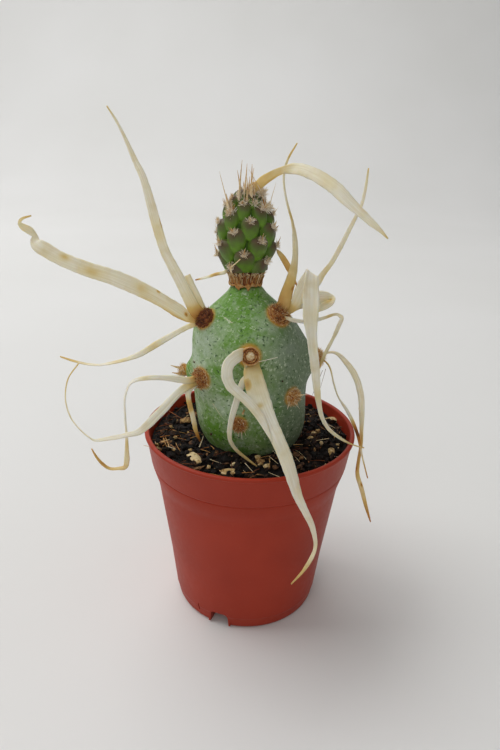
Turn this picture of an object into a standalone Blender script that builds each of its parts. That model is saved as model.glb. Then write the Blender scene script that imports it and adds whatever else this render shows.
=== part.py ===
"""A paper spine cactus in a small nursery pot.

The origin is on the pot's axis, at the underside of its base. +Z is up and the
front, where the long front spine hangs over the lip, is -Y. Lengths in the
tables and constants are millimetres, and MM turns them into metres.
"""

import math
import random

import bmesh
import bpy
from mathutils import Matrix, Vector, noise

MM = 0.001
GAP = 0.3
SMOOTH_ANGLE = 40.0
# How far a cutter runs on past the surface that it opens.
CUT_OVERRUN = 1.0
# Points made between two points of a hand-drawn profile.
PROFILE_STEPS = 2
AXIS_TOLERANCE = 0.01

# Each finish: linear RGB colour and roughness.
FINISHES = {
    "terracotta_plastic": ((0.33, 0.06, 0.035), 0.45),
    "potting_soil": ((0.03, 0.018, 0.012), 0.95),
    "glaucous_skin": ((0.14, 0.26, 0.12), 0.6),
    "young_skin": ((0.07, 0.16, 0.04), 0.55),
    "collar_fibre": ((0.42, 0.16, 0.05), 0.85),
    "papery_spine": ((0.72, 0.64, 0.46), 0.7),
    "amber_spine": ((0.6, 0.42, 0.16), 0.6),
}

# Pot: a standard 5.5 cm nursery pot.
LIP_RADIUS = 27.5
POT_HEIGHT = 50.9
POT_WALL = 0.8
POT_SEGMENTS = 56
BEAD_HEIGHT = 0.9
LIP_ROUNDING = 0.3
MOUTH_CHAMFER = 0.4
BAND_TOP_RADIUS = 27.0
BAND_FOOT_RADIUS = 25.95
BAND_FOOT_HEIGHT = 42.4
SHOULDER_RADIUS = 24.2
SHOULDER_HEIGHT = 37.0
BASE_RADIUS = 18.5
BASE_CORNER = 1.0
# Outside of the base corner: how far its top and its bevel stand out from the base.
CORNER_FLARE = 0.9
BEVEL_FLARE = 0.6
BEVEL_HEIGHT = 0.3
# Inside of the base corner: where the floor ends, and where the side begins.
FLOOR_INSET = 0.5
SIDE_FLARE = 0.3
SIDE_RISE = 0.9

# Drain pockets in the pot's bottom corner.
POCKET_COUNT = 3
FIRST_POCKET_AZIMUTH = 250.0
POCKET_WIDTH = 4.6
POCKET_HEIGHT = 4.3
POCKET_INNER_RADIUS = 13.8
POCKET_MOUTH_RADIUS = 18.4
DRAIN_RADIUS = 1.3
DRAIN_SIDES = 12
DRAIN_CUT_DEPTH = 3.2
SLIT_AZIMUTH = 230.5
SLIT_WIDTH = 0.5
SLIT_FOOT = 1.2
SLIT_CENTRE_RADIUS = 19.5
SLIT_CUT_LENGTH = 4.0

# Soil.
SOIL_HEIGHT = 47.8
SOIL_RINGS = 7
SOIL_ROUGHNESS = 0.55
SOIL_EDGE_INSET = 0.4
SOIL_TOP_DEPTH = 1.0
# Lumps and crumbs of the soil's top: waves for each mm, and the lumps' share.
LUMP_WAVES = 0.16
CRUMB_WAVES = 0.45
CRUMB_SHIFT = (9.0, 4.0, 2.0)
LUMP_SHARE = 1.2
CHIP_COUNT = 18
CHIP_RING = (15.5, 23.0)
CHIP_LIFT = 0.15
# A bark chip's least and greatest half length, half width and half depth.
CHIP_SIZES = ((1.0, 2.2), (0.8, 1.4), (0.6, 1.0))
CHIP_TIP = 0.5
SOIL_SEED = 7

# Old joint: (height, radius) of its plain barrel, from the buried foot to the neck.
BARREL = [
    (40.5, 6.0), (44.0, 10.0), (48.0, 12.6), (52.0, 14.0), (57.0, 14.4), (62.0, 14.3), (67.0, 14.3),
    (72.0, 14.1), (77.0, 13.2), (81.0, 10.5), (84.0, 7.6), (86.5, 5.0), (88.3, 3.6), (88.7, 2.6),
]
BARREL_FOOT = 40.0
BARREL_SEGMENTS = 36
NECK_TOP = 92.0
MOUNDS_FADE_RADIUS = 8.0
SLOPE_STEP = 1.5
# The barrel's axis leans a little to the left and to the front as it rises.
LEAN_FOOT_HEIGHT = 48.0
LEAN_RUN = 40.0
LEAN_START = (0.5, 1.5)
LEAN_SHIFT = (-2.3, -1.5)

# Neck collar: a ring of fibres round the old joint's neck.
COLLAR_FOOT = 88.9
COLLAR_FOOT_RADIUS = 3.9
COLLAR_TOP_RADIUS = 4.5
COLLAR_BORE = 2.9
COLLAR_SEGMENTS = 44
# The flare begins this far in and down from the top edge.
FLARE_INSET = 0.25
FLARE_DEPTH = 1.1
# The foot ends in a bead that stands out a little.
FOOT_BEAD = 0.15
FOOT_BEAD_HEIGHT = 0.7
FIBRE_DEPTH = 0.16
FIBRE_INSET = 0.5

# New joint: (height, radius) of the core that its tubercles stand out of.
CORE = [
    (92.3, 3.3), (95.0, 4.6), (98.0, 5.3), (102.0, 5.1), (105.5, 4.1), (108.5, 2.6), (110.4, 1.2),
]
CORE_SEGMENTS = 20
CORE_TIP_RISE = 0.3
FOOT_CUTTER_RADIUS = 12.0
FOOT_CUTTER_DEPTH = 20.0
FOOT_CUTTER_SIDES = 24
NEW_JOINT_AXIS = (-2.1, 0.3)
# Tubercles sit on a spiral: one golden angle round for each step up.
GOLDEN_ANGLE = 137.508
FIRST_TUBERCLE = 2
LAST_TUBERCLE = 33
SPIRAL_START_AZIMUTH = 149.6
SPIRAL_START_HEIGHT = 91.4
SPIRAL_RISE = 0.73
SPIRAL_CROWDING = 0.005
# A tubercle's half depth, half width and half length.
TUBERCLE_SIZE = (1.7, 2.0, 2.9)
TUBERCLE_TILT = 16.0
TUBERCLE_SIDES = 6
TUBERCLE_RINGS = 5
# A tubercle's centre lies below its tip by this share of its half length.
TUBERCLE_DROP = 0.6
TUBERCLE_SHRINK = 0.45
TAPER_STEP = 3.0
# Its areole's place, as shares of its half depth and its half length.
AREOLE_OUT = 0.5
AREOLE_UP = 0.35
LAST_NEEDLED = 27
SPINE_SEED = 3
WOOL_WAY = (0.8, 0.0, 0.6)
WOOL_LENGTH = 1.6
WOOL_RADIUS = 0.75
SHORT_NEEDLE_LENGTHS = (2.6, 3.6)
SHORT_NEEDLE_OUT = 0.7
SHORT_NEEDLE_SWAY = 0.5
SHORT_NEEDLE_RISES = (0.2, 1.0)

# Crown tuft.
CROWN_CENTRE = (-2.0, 0.0, 110.9)
CROWN_SIZE = (2.4, 1.6)
# Each needle: azimuth, angle from upright, length.
CROWN_NEEDLES = [
    (200.0, 22.0, 7.5), (215.0, 6.0, 8.5), (300.0, 4.0, 8.0), (330.0, 14.0, 8.0), (20.0, 30.0, 6.0),
    (90.0, 24.0, 6.5), (140.0, 32.0, 6.0), (260.0, 26.0, 5.0),
]
CROWN_NEEDLE_LIFT = 0.5
NEEDLE_RADIUS = 0.32
NEEDLE_SIDES = 3
NEEDLE_TAPER = 0.25

# Areoles of the new joint that carry a flat spine: azimuth, height, reach from the core.
AMBER_TUBERCLE = 9
NEW_JOINT_AREOLES = {"new_right": (352.0, 97.4, 1.6), "new_left": (150.0, 94.2, 1.2)}
NEW_AREOLE_SIZE = (1.2, 0.9)
CUSHION_SIDES = 10
CUSHION_RINGS = 5

# Spines.
SPINE_THICKNESS = 0.6
ROOT_REACH = 0.35
STEPS_PER_STATION = 2
# A spine that isn't turned lies with its flat side facing this way.
FACING = Vector((0.0, -0.91, 0.41))

# Areoles of the old joint: azimuth, height, how far the mound under them rises
# and spreads, and the radius and the depth of the woolly cushion.
AREOLES = {
    "upper_left": (212.0, 81.6, 1.8, 3.4, 2.5, 1.7),
    "lower_left": (224.0, 68.0, 1.4, 3.6, 2.4, 1.5),
    "left_back": (177.0, 65.2, 2.6, 2.2, 1.6, 1.2),
    "front": (272.0, 75.4, 1.0, 4.0, 2.4, 1.2),
    "upper_right": (316.0, 83.2, 2.0, 3.6, 2.7, 1.7),
    "right": (6.0, 69.5, 3.4, 3.2, 2.0, 1.5),
    "low_right": (313.0, 64.0, 1.2, 4.0, 2.0, 1.1),
    "low_front": (260.0, 57.8, 0.8, 3.4, 1.8, 1.0),
    "upper_back": (95.0, 80.5, 1.8, 4.2, 2.4, 1.5),
    "middle_back": (128.0, 72.0, 1.6, 4.2, 2.2, 1.4),
    "low_back": (62.0, 63.0, 1.6, 4.2, 2.0, 1.2),
}

# Spines of each areole. A station holds x, y, z, the width there, and how far
# the flat side is turned there, in degrees.
SPINES = {
    "upper_left": [
        [  # tall, up and back to the left
            (-13.0, -6.5, 83.0, 3.0, 0), (-14.5, -7.0, 86.5, 3.2, 0), (-17.5, -7.0, 92.0, 2.9, 0),
            (-20.5, -6.0, 97.5, 2.6, 10), (-25.5, -1.0, 110.5, 2.2, 20), (-31.0, 5.0, 122.0, 1.2, 20),
            (-35.0, 8.0, 127.5, 0.6, 0),
        ],
        [  # broken off short, behind the tall one
            (-11.5, -4.5, 83.5, 2.2, 0), (-13.0, -4.5, 86.5, 2.3, 10), (-15.5, -4.0, 91.0, 2.3, 10),
        ],
        [  # long and broad, folded near its end
            (-14.5, -7.0, 82.5, 3.0, 0), (-18.0, -8.5, 84.5, 3.4, 0), (-26.0, -11.0, 89.5, 3.9, 10),
            (-37.0, -12.0, 94.5, 4.3, 0), (-43.0, -11.0, 96.0, 4.0, 0), (-47.5, -10.0, 98.5, 3.6, 20),
            (-49.5, -8.5, 101.0, 2.0, 50), (-51.5, -8.5, 102.5, 1.5, 30), (-51.5, -9.0, 104.0, 1.0, 20),
            (-49.0, -9.0, 104.5, 0.6, 0),
        ],
        [  # low and slender, out to the left
            (-14.5, -6.5, 80.5, 1.8, 0), (-22.5, -5.0, 75.0, 2.0, 10), (-27.0, -4.0, 71.5, 1.8, 30),
            (-32.5, -3.0, 69.0, 1.4, 50), (-37.5, -2.0, 67.0, 1.2, 60), (-43.5, -1.0, 67.5, 0.9, 50),
            (-49.0, 0.0, 69.0, 0.6, 0),
        ],
    ],
    "lower_left": [
        [  # out level, then hooked down
            (-14.5, -12.0, 68.5, 2.0, 0), (-18.0, -13.0, 69.0, 1.8, 10), (-22.5, -14.0, 69.5, 1.7, 30),
            (-26.0, -14.5, 68.5, 1.7, 50), (-29.0, -14.5, 66.0, 1.7, 65), (-30.0, -14.0, 61.5, 1.7, 65),
            (-30.0, -13.0, 54.5, 1.7, 50), (-30.5, -12.0, 47.5, 1.6, 10), (-32.0, -12.0, 44.0, 1.2, 30),
            (-35.0, -12.5, 44.0, 1.0, 50), (-37.5, -13.0, 46.5, 0.8, 50), (-38.5, -13.0, 50.0, 0.6, 0),
        ],
        [  # arched down, then swept up in a fine thread
            (-14.5, -12.0, 66.5, 2.2, 0), (-17.5, -15.0, 65.5, 2.4, 0), (-21.0, -17.5, 63.0, 2.4, 0),
            (-24.5, -19.0, 59.0, 2.2, 10), (-29.0, -19.0, 57.0, 1.6, 20), (-34.5, -18.0, 55.0, 1.1, 30),
            (-38.0, -17.0, 55.0, 0.8, 30), (-41.5, -15.0, 57.0, 0.7, 0), (-44.0, -12.0, 61.5, 0.7, 0),
            (-44.5, -9.0, 65.0, 0.7, 0), (-42.5, -5.0, 69.0, 0.6, 0),
        ],
        [  # hanging close to the stem
            (-13.5, -12.5, 66.0, 1.8, 0), (-14.0, -13.0, 63.0, 1.8, 0), (-14.0, -13.0, 59.5, 1.7, 20),
            (-13.0, -12.5, 56.0, 1.4, 30), (-12.5, -12.0, 51.0, 0.6, 0),
        ],
    ],
    "left_back": [
        [(-18.5, 2.0, 65.7, 1.6, 0), (-20.0, 1.5, 66.2, 1.2, 0), (-21.0, 1.0, 66.5, 0.6, 0)],
        [(-18.5, 1.0, 64.0, 1.0, 0), (-19.5, 0.5, 62.0, 0.9, 20), (-19.8, 0.0, 60.5, 0.6, 0)],
    ],
    "front": [
        [  # long and broad, down over the lip
            (0.0, -16.0, 74.5, 3.6, 0), (0.5, -18.0, 72.0, 4.4, 0), (1.5, -20.5, 69.0, 4.6, 0),
            (3.0, -23.0, 65.5, 4.3, 0), (7.0, -29.0, 57.5, 3.9, 0), (11.5, -33.0, 48.5, 2.6, 20),
            (14.0, -34.0, 43.0, 1.7, 30), (15.0, -34.0, 39.5, 1.0, 30), (14.5, -34.0, 35.5, 0.9, 20),
            (12.5, -33.5, 31.5, 0.8, 20), (10.5, -33.0, 27.0, 0.6, 0),
        ],
        [  # curled out to the left and back over the long one
            (-2.0, -16.0, 77.0, 2.0, 0), (-4.0, -18.5, 77.0, 2.4, 0), (-5.5, -20.5, 75.5, 2.6, 0),
            (-5.0, -21.5, 73.5, 2.6, 0), (-4.0, -22.0, 71.0, 2.5, 0), (-1.5, -22.5, 69.0, 2.5, 0),
            (1.0, -24.5, 67.0, 2.2, 0), (5.0, -29.0, 61.0, 0.7, 0),
        ],
        [  # slender, trailing to the soil
            (-1.5, -16.5, 74.0, 1.4, 0), (-2.0, -18.0, 70.5, 1.5, 20), (-3.0, -18.5, 65.5, 1.4, 20),
            (-4.5, -18.0, 61.0, 1.3, 30), (-4.5, -17.5, 57.0, 1.0, 20), (-2.5, -17.0, 54.5, 0.9, 0),
            (0.0, -17.0, 51.5, 0.9, 0), (2.5, -17.5, 50.0, 0.6, 0),
        ],
    ],
    "upper_right": [
        [  # amber at its foot, in a long S up and back
            (7.0, -6.5, 85.0, 2.6, 0), (7.5, -6.0, 87.5, 2.5, 0), (8.5, -5.0, 91.0, 2.1, 10),
            (9.5, -3.5, 94.5, 1.8, 20), (9.5, -1.5, 98.5, 1.5, 30), (9.0, 1.0, 102.0, 1.3, 50),
            (7.5, 4.0, 106.0, 1.1, 60), (6.5, 7.0, 110.0, 0.9, 40), (6.5, 9.0, 114.0, 0.8, 30),
            (8.0, 11.0, 118.5, 0.7, 20), (10.0, 13.0, 121.5, 0.6, 0),
        ],
        [  # broad, up and over toward the front, then down to the lip
            (9.0, -6.5, 84.5, 2.6, 0), (10.5, -7.0, 87.5, 3.2, 0), (11.5, -8.0, 91.0, 3.5, 0),
            (12.5, -10.5, 93.5, 3.7, 0), (12.5, -13.5, 93.0, 3.8, 0), (12.5, -15.0, 90.5, 3.8, 0),
            (12.5, -16.0, 87.0, 3.7, 0), (13.0, -17.0, 82.5, 3.0, 0), (14.5, -18.5, 73.0, 1.9, 10),
            (15.5, -18.0, 67.5, 1.4, 20), (17.5, -17.0, 63.0, 1.1, 20), (20.0, -15.5, 58.0, 1.0, 10),
            (24.0, -13.5, 54.5, 0.8, 0), (28.5, -11.5, 52.0, 0.6, 0),
        ],
        [  # rising to the right
            (9.0, -3.5, 84.5, 1.6, 0), (11.5, -0.5, 85.0, 1.7, 0), (16.0, 2.0, 90.0, 1.9, 0),
            (18.5, 3.0, 94.5, 2.0, 10), (23.5, 5.0, 103.5, 1.5, 30), (26.0, 6.5, 111.5, 1.0, 20),
            (26.0, 7.0, 115.5, 0.6, 0),
        ],
        [  # short and broad, curled on itself
            (9.0, -2.5, 83.5, 2.0, 0), (11.5, 1.0, 83.5, 2.6, 0), (14.5, 3.5, 85.0, 3.0, 0),
            (17.5, 4.5, 85.5, 3.4, 10), (19.5, 3.5, 84.5, 3.3, 50), (18.5, 1.5, 83.0, 3.0, 20),
            (15.5, 0.5, 82.0, 2.2, 0),
        ],
        [  # slender, out behind the broad one and bent down at an elbow
            (7.5, -8.5, 83.0, 1.2, 0), (9.5, -9.0, 82.5, 1.3, 0), (12.5, -7.0, 81.5, 1.2, 20),
            (16.0, -4.0, 81.0, 1.0, 30), (19.5, -1.0, 81.5, 1.0, 30), (21.5, 1.0, 81.0, 1.0, 20),
            (22.0, 1.5, 79.5, 1.0, 20), (21.5, 1.0, 77.0, 1.0, 20), (21.0, 0.5, 74.5, 0.6, 0),
        ],
    ],
    "right": [
        [  # hanging outside the pot
            (19.0, 1.5, 70.5, 1.0, 0), (22.5, 0.5, 71.0, 1.8, 40), (25.0, 0.0, 68.0, 2.0, 10),
            (27.5, -0.5, 64.5, 2.0, 10), (28.5, -1.0, 60.5, 1.8, 20), (29.5, -1.5, 55.5, 1.6, 40),
            (29.5, -2.0, 50.5, 1.4, 60), (29.0, -3.0, 40.0, 1.3, 30), (30.5, -3.0, 34.5, 1.3, 10),
            (32.0, -3.0, 29.5, 1.2, 10), (34.0, -3.0, 24.0, 0.6, 0),
        ],
        [  # thread beside it
            (19.0, 0.5, 69.0, 0.6, 0), (20.0, -0.5, 67.0, 0.6, 0), (21.0, -1.0, 63.5, 0.6, 0),
            (23.0, -2.5, 59.5, 0.7, 0), (25.5, -4.5, 56.0, 0.7, 0), (28.0, -6.5, 52.0, 0.6, 0),
            (29.0, -7.0, 48.0, 0.6, 0), (30.0, -6.0, 44.0, 0.6, 0), (31.0, -5.5, 39.5, 0.6, 0),
        ],
    ],
    "low_right": [
        [(11.5, -11.0, 64.0, 1.1, 0), (13.4, -11.6, 64.4, 0.6, 0)],
        [(9.8, -11.8, 61.8, 1.0, 0), (9.2, -12.8, 60.2, 0.6, 0)],
        [(11.6, -11.4, 62.0, 1.0, 0), (12.8, -12.4, 60.6, 0.6, 0)],
    ],
    "low_front": [
        [(-2.4, -15.4, 56.0, 1.1, 0), (-2.6, -16.2, 54.4, 0.6, 0)],
        [(-1.2, -15.4, 56.2, 1.1, 0), (-0.4, -16.0, 54.8, 0.6, 0)],
    ],
    "upper_back": [
        [
            (-2.0, 12.0, 82.0, 2.4, 0), (-3.0, 17.0, 84.0, 2.8, 10), (-4.5, 23.0, 82.0, 3.0, 10),
            (-6.0, 28.5, 75.0, 2.8, 0), (-7.5, 31.5, 66.0, 2.2, 0), (-8.0, 32.5, 56.0, 1.4, 20),
            (-7.0, 32.5, 48.0, 0.6, 0),
        ],
        [
            (-1.0, 12.0, 80.5, 2.0, 0), (1.0, 17.0, 80.5, 2.4, 0), (4.0, 21.5, 77.0, 2.4, 0),
            (6.5, 24.0, 71.0, 2.0, 10), (8.5, 25.0, 64.0, 1.4, 20), (9.5, 24.0, 57.0, 0.6, 0),
        ],
    ],
    "middle_back": [
        [
            (-11.5, 12.0, 72.5, 2.0, 0), (-13.0, 15.5, 73.0, 2.2, 0), (-14.5, 20.0, 70.0, 2.2, 10),
            (-14.5, 24.0, 64.0, 1.8, 20), (-13.0, 25.5, 58.0, 1.2, 20), (-11.5, 24.5, 53.5, 0.6, 0),
        ],
    ],
    "low_back": [
        [
            (7.0, 16.0, 63.0, 1.8, 0), (8.5, 19.0, 62.5, 1.8, 0), (10.5, 22.0, 59.0, 1.6, 0),
            (12.0, 23.0, 55.0, 1.0, 0), (12.5, 22.5, 51.5, 0.6, 0),
        ],
    ],
    "crown": [
        [  # broad, arched over to the right
            (-0.5, -0.5, 111.0, 2.6, 0), (1.0, -2.5, 112.5, 3.0, 0), (3.0, -4.0, 114.0, 3.2, 20),
            (5.5, -6.5, 115.5, 3.0, 50), (8.5, -9.0, 116.0, 3.0, 20), (12.0, -11.5, 115.0, 3.2, 0),
            (15.0, -13.5, 113.5, 3.4, 0), (17.5, -15.0, 111.5, 3.2, 0), (20.5, -16.0, 109.5, 2.6, 0),
            (23.0, -17.0, 107.0, 1.9, 0), (27.0, -18.0, 103.5, 0.6, 0),
        ],
    ],
    "new_right": [
        [
            (5.0, 0.5, 97.5, 1.2, 0), (7.0, 1.5, 96.0, 1.3, 20), (8.5, 3.0, 92.5, 1.2, 10),
            (10.0, 3.5, 89.5, 0.8, 0), (10.5, 3.5, 87.5, 0.6, 0),
        ],
    ],
    "new_left": [
        [(-8.0, 2.0, 91.5, 1.1, 0), (-10.5, 4.0, 90.5, 0.9, 10), (-15.0, 6.0, 88.0, 0.6, 0)],
    ],
}


def clear_scene():
    """Remove every object of the startup scene."""
    for obj in list(bpy.data.objects):
        bpy.data.objects.remove(obj, do_unlink=True)


def new_collection(name, parent=None):
    """Return a new collection, linked to the scene or to a parent collection."""
    collection = bpy.data.collections.new(name)
    (parent or bpy.context.scene.collection).children.link(collection)
    return collection


def new_material(name):
    """Return the Principled material of a named finish."""
    colour, roughness = FINISHES[name]
    material = bpy.data.materials.new(name)
    material.use_nodes = True
    shader = material.node_tree.nodes["Principled BSDF"]
    shader.inputs["Base Color"].default_value = (*colour, 1.0)
    shader.inputs["Roughness"].default_value = roughness
    material.diffuse_color = (*colour, 1.0)
    return material


def object_from_bmesh(name, bm, collection):
    """Write a bmesh into a new object in the collection, and free it."""
    mesh = bpy.data.meshes.new(name)
    bm.to_mesh(mesh)
    bm.free()
    obj = bpy.data.objects.new(name, mesh)
    collection.objects.link(obj)
    return obj


def apply_modifiers(obj):
    """Replace an object's mesh by what its modifiers make of it."""
    graph = bpy.context.evaluated_depsgraph_get()
    mesh = bpy.data.meshes.new_from_object(obj.evaluated_get(graph))
    obj.modifiers.clear()
    obj.data = mesh


def hide_helper(obj):
    """Mark an object as a cutter or guide that is no part of the cactus."""
    obj.hide_render = True
    obj.display_type = "WIRE"


def cut(obj, cutter):
    """Subtract a helper object from an object."""
    hide_helper(cutter)
    modifier = obj.modifiers.new("cut " + cutter.name, "BOOLEAN")
    modifier.operation = "DIFFERENCE"
    modifier.object = cutter


def fuse(obj, pieces, solver="EXACT"):
    """Join the objects of a collection to an object, then remove them."""
    modifier = obj.modifiers.new("fuse " + pieces.name, "BOOLEAN")
    modifier.operation = "UNION"
    modifier.operand_type = "COLLECTION"
    modifier.collection = pieces
    modifier.solver = solver
    apply_modifiers(obj)
    for piece in list(pieces.objects):
        bpy.data.objects.remove(piece, do_unlink=True)
    bpy.data.collections.remove(pieces)


def finish(obj, material):
    """Shade an object smooth, but for its sharp edges, and give it its one material."""
    obj.data.materials.clear()
    obj.data.materials.append(material)
    obj.data.shade_smooth()
    obj.data.set_sharp_from_angle(angle=math.radians(SMOOTH_ANGLE))


def turned(name, profile, segments, collection):
    """Return a solid of revolution. The profile is (radius, height) from top to bottom, in mm."""
    bm = bmesh.new()
    corners = [bm.verts.new((radius * MM, 0.0, height * MM)) for radius, height in profile]
    for upper, lower in zip(corners, corners[1:]):
        bm.edges.new((upper, lower))
    if profile[0][0] > 0.0:
        bm.edges.new((corners[-1], corners[0]))
    obj = object_from_bmesh(name, bm, collection)
    screw = obj.modifiers.new("turn", "SCREW")
    screw.steps = segments
    screw.render_steps = segments
    screw.use_merge_vertices = True
    screw.merge_threshold = 0.00001
    apply_modifiers(obj)
    return obj


def smooth_path(stations, steps):
    """Return points on a Catmull-Rom curve through stations of any dimension."""
    points = [Vector(station) for station in stations]
    ends = [2 * points[0] - points[1], *points, 2 * points[-1] - points[-2]]
    path = []
    for index in range(len(points) - 1):
        before, start, end, after = ends[index:index + 4]
        for step in range(steps):
            t = step / steps
            path.append(
                0.5 * (
                    2 * start
                    + (end - before) * t
                    + (2 * before - 5 * start + 4 * end - after) * t ** 2
                    + (3 * start - 3 * end + after - before) * t ** 3
                )
            )
    path.append(points[-1])
    return path


def polar(radius, azimuth, height=0.0):
    """Return a point in mm from its radius, azimuth in degrees and height."""
    angle = math.radians(azimuth)
    return Vector((radius * math.cos(angle), radius * math.sin(angle), height))


def azimuth_between(first, second):
    """Return the angle between two azimuths, in degrees, from 0 to 180."""
    return abs((first - second + 180.0) % 360.0 - 180.0)


def pot_outline():
    """Return the pot wall's section: up the inside, over the lip and down the outside."""
    inner = [
        (0.0, POT_WALL),
        (BASE_RADIUS - FLOOR_INSET, POT_WALL),
        (BASE_RADIUS + SIDE_FLARE, POT_WALL + SIDE_RISE),
        (SHOULDER_RADIUS - POT_WALL, SHOULDER_HEIGHT),
        (BAND_FOOT_RADIUS - POT_WALL, BAND_FOOT_HEIGHT),
        (BAND_TOP_RADIUS - POT_WALL, POT_HEIGHT - MOUTH_CHAMFER),
        (BAND_TOP_RADIUS - POT_WALL + MOUTH_CHAMFER, POT_HEIGHT),
    ]
    outer = [
        (LIP_RADIUS - LIP_ROUNDING, POT_HEIGHT),
        (LIP_RADIUS, POT_HEIGHT - LIP_ROUNDING),
        (LIP_RADIUS, POT_HEIGHT - BEAD_HEIGHT),
        (BAND_TOP_RADIUS, POT_HEIGHT - BEAD_HEIGHT - LIP_ROUNDING),
        (BAND_FOOT_RADIUS, BAND_FOOT_HEIGHT),
        (SHOULDER_RADIUS, SHOULDER_HEIGHT),
        (BASE_RADIUS + CORNER_FLARE, BASE_CORNER),
        (BASE_RADIUS + BEVEL_FLARE, BEVEL_HEIGHT),
        (BASE_RADIUS, 0.0),
        (0.0, 0.0),
    ]
    return inner + outer


def pocket_azimuths():
    """Return the azimuths of the drain pockets."""
    return [FIRST_POCKET_AZIMUTH + 360.0 * index / POCKET_COUNT for index in range(POCKET_COUNT)]


def boxes_at_pockets(name, radii, width, heights, collection):
    """Return one object holding a radial box at each drain pocket."""
    bm = bmesh.new()
    length = radii[1] - radii[0]
    size = Matrix.Diagonal((length * MM, width * MM, (heights[1] - heights[0]) * MM, 1.0))
    for azimuth in pocket_azimuths():
        centre = polar(sum(radii) / 2, azimuth, sum(heights) / 2) * MM
        turn = Matrix.Rotation(math.radians(azimuth), 4, "Z")
        bmesh.ops.create_cube(bm, size=1.0, matrix=Matrix.Translation(centre) @ turn @ size)
    return object_from_bmesh(name, bm, collection)


def build_pot(collection, helpers):
    """Return the pot: a thin turned wall with drain pockets in its bottom corner."""
    pot = turned("pot", pot_outline(), POT_SEGMENTS, collection)
    walls = new_collection("pocket_walls", helpers)
    boxes_at_pockets(
        "pocket_wall",
        (POCKET_INNER_RADIUS - POT_WALL, POCKET_MOUTH_RADIUS),
        POCKET_WIDTH + 2 * POT_WALL,
        (POT_WALL / 2, POCKET_HEIGHT + POT_WALL),
        walls,
    )
    fuse(pot, walls)
    cut(pot, boxes_at_pockets(
        "pocket_hollow",
        (POCKET_INNER_RADIUS, LIP_RADIUS),
        POCKET_WIDTH,
        (-CUT_OVERRUN, POCKET_HEIGHT),
        helpers,
    ))
    bm = bmesh.new()
    for azimuth in pocket_azimuths():
        centre = polar((POCKET_INNER_RADIUS + POCKET_MOUTH_RADIUS) / 2, azimuth, POCKET_HEIGHT)
        bmesh.ops.create_cone(
            bm, cap_ends=True, segments=DRAIN_SIDES, radius1=DRAIN_RADIUS * MM,
            radius2=DRAIN_RADIUS * MM, depth=DRAIN_CUT_DEPTH * MM,
            matrix=Matrix.Translation(centre * MM),
        )
    cut(pot, object_from_bmesh("drain_holes", bm, helpers))
    bm = bmesh.new()
    centre = polar(SLIT_CENTRE_RADIUS, SLIT_AZIMUTH, (SLIT_FOOT + POCKET_HEIGHT) / 2)
    size = Matrix.Diagonal(
        (SLIT_CUT_LENGTH * MM, SLIT_WIDTH * MM, (POCKET_HEIGHT - SLIT_FOOT) * MM, 1.0)
    )
    turn = Matrix.Rotation(math.radians(SLIT_AZIMUTH), 4, "Z")
    bmesh.ops.create_cube(bm, size=1.0, matrix=Matrix.Translation(centre * MM) @ turn @ size)
    cut(pot, object_from_bmesh("moulding_slit", bm, helpers))
    return pot


def soil_level(point):
    """Return the soil's height at a point in mm, rougher than a plain disc."""
    spot = Vector((point.x, point.y, 0.0))
    lumps = noise.noise(spot * LUMP_WAVES)
    crumbs = noise.noise(spot * CRUMB_WAVES + Vector(CRUMB_SHIFT))
    return SOIL_HEIGHT + SOIL_ROUGHNESS * (LUMP_SHARE * lumps + crumbs)


def build_soil(collection, helpers, stem_cutter):
    """Return the soil: it fills the pot, and bark chips are fused into its top."""
    edge = BAND_TOP_RADIUS - POT_WALL - GAP - SOIL_EDGE_INSET
    top = [(edge * index / SOIL_RINGS, SOIL_HEIGHT) for index in range(SOIL_RINGS + 1)]
    side = [
        (BAND_FOOT_RADIUS - POT_WALL - GAP, BAND_FOOT_HEIGHT),
        (SHOULDER_RADIUS - POT_WALL - GAP, SHOULDER_HEIGHT),
        (BASE_RADIUS + SIDE_FLARE - GAP, POT_WALL + SIDE_RISE),
        (BASE_RADIUS - FLOOR_INSET - GAP, POT_WALL + GAP),
        (0.0, POT_WALL + GAP),
    ]
    soil = turned("soil", top + side, POT_SEGMENTS, collection)
    for vertex in soil.data.vertices:
        if vertex.co.z > (SOIL_HEIGHT - SOIL_TOP_DEPTH) * MM:
            vertex.co.z = soil_level(vertex.co / MM) * MM

    chips = new_collection("bark_chips", helpers)
    draw = random.Random(SOIL_SEED)
    for index in range(CHIP_COUNT):
        azimuth = index * GOLDEN_ANGLE
        spot = polar(draw.uniform(*CHIP_RING), azimuth)
        spot.z = soil_level(spot) + CHIP_LIFT
        size = [draw.uniform(*limits) for limits in CHIP_SIZES]
        turn = Matrix.Rotation(draw.uniform(0.0, math.tau), 4, "Z")
        tip = Matrix.Rotation(draw.uniform(-CHIP_TIP, CHIP_TIP), 4, "X")
        scale = Matrix.Diagonal((*(length * MM for length in size), 1.0))
        bm = bmesh.new()
        bmesh.ops.create_icosphere(
            bm, subdivisions=1, radius=1.0, matrix=Matrix.Translation(spot * MM) @ turn @ tip @ scale
        )
        object_from_bmesh("bark_chip", bm, chips)
    fuse(soil, chips)
    cut(soil, boxes_at_pockets(
        "pocket_clearance",
        (POCKET_INNER_RADIUS - POT_WALL - GAP, LIP_RADIUS),
        POCKET_WIDTH + 2 * (POT_WALL + GAP),
        (-CUT_OVERRUN, POCKET_HEIGHT + POT_WALL + GAP),
        helpers,
    ))
    cut(soil, stem_cutter)
    return soil


def stem_axis(height):
    """Return the centre of the old joint at a height, in mm."""
    run = (height - LEAN_FOOT_HEIGHT) / LEAN_RUN
    return Vector((
        LEAN_START[0] + LEAN_SHIFT[0] * run,
        LEAN_START[1] + LEAN_SHIFT[1] * run,
        height,
    ))


def barrel_radius(height):
    """Return the plain barrel's radius at a height between its foot and its neck."""
    for (low, small), (high, large) in zip(BARREL, BARREL[1:]):
        if low <= height <= high and high > low:
            return small + (large - small) * (height - low) / (high - low)
    return 0.0


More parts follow.
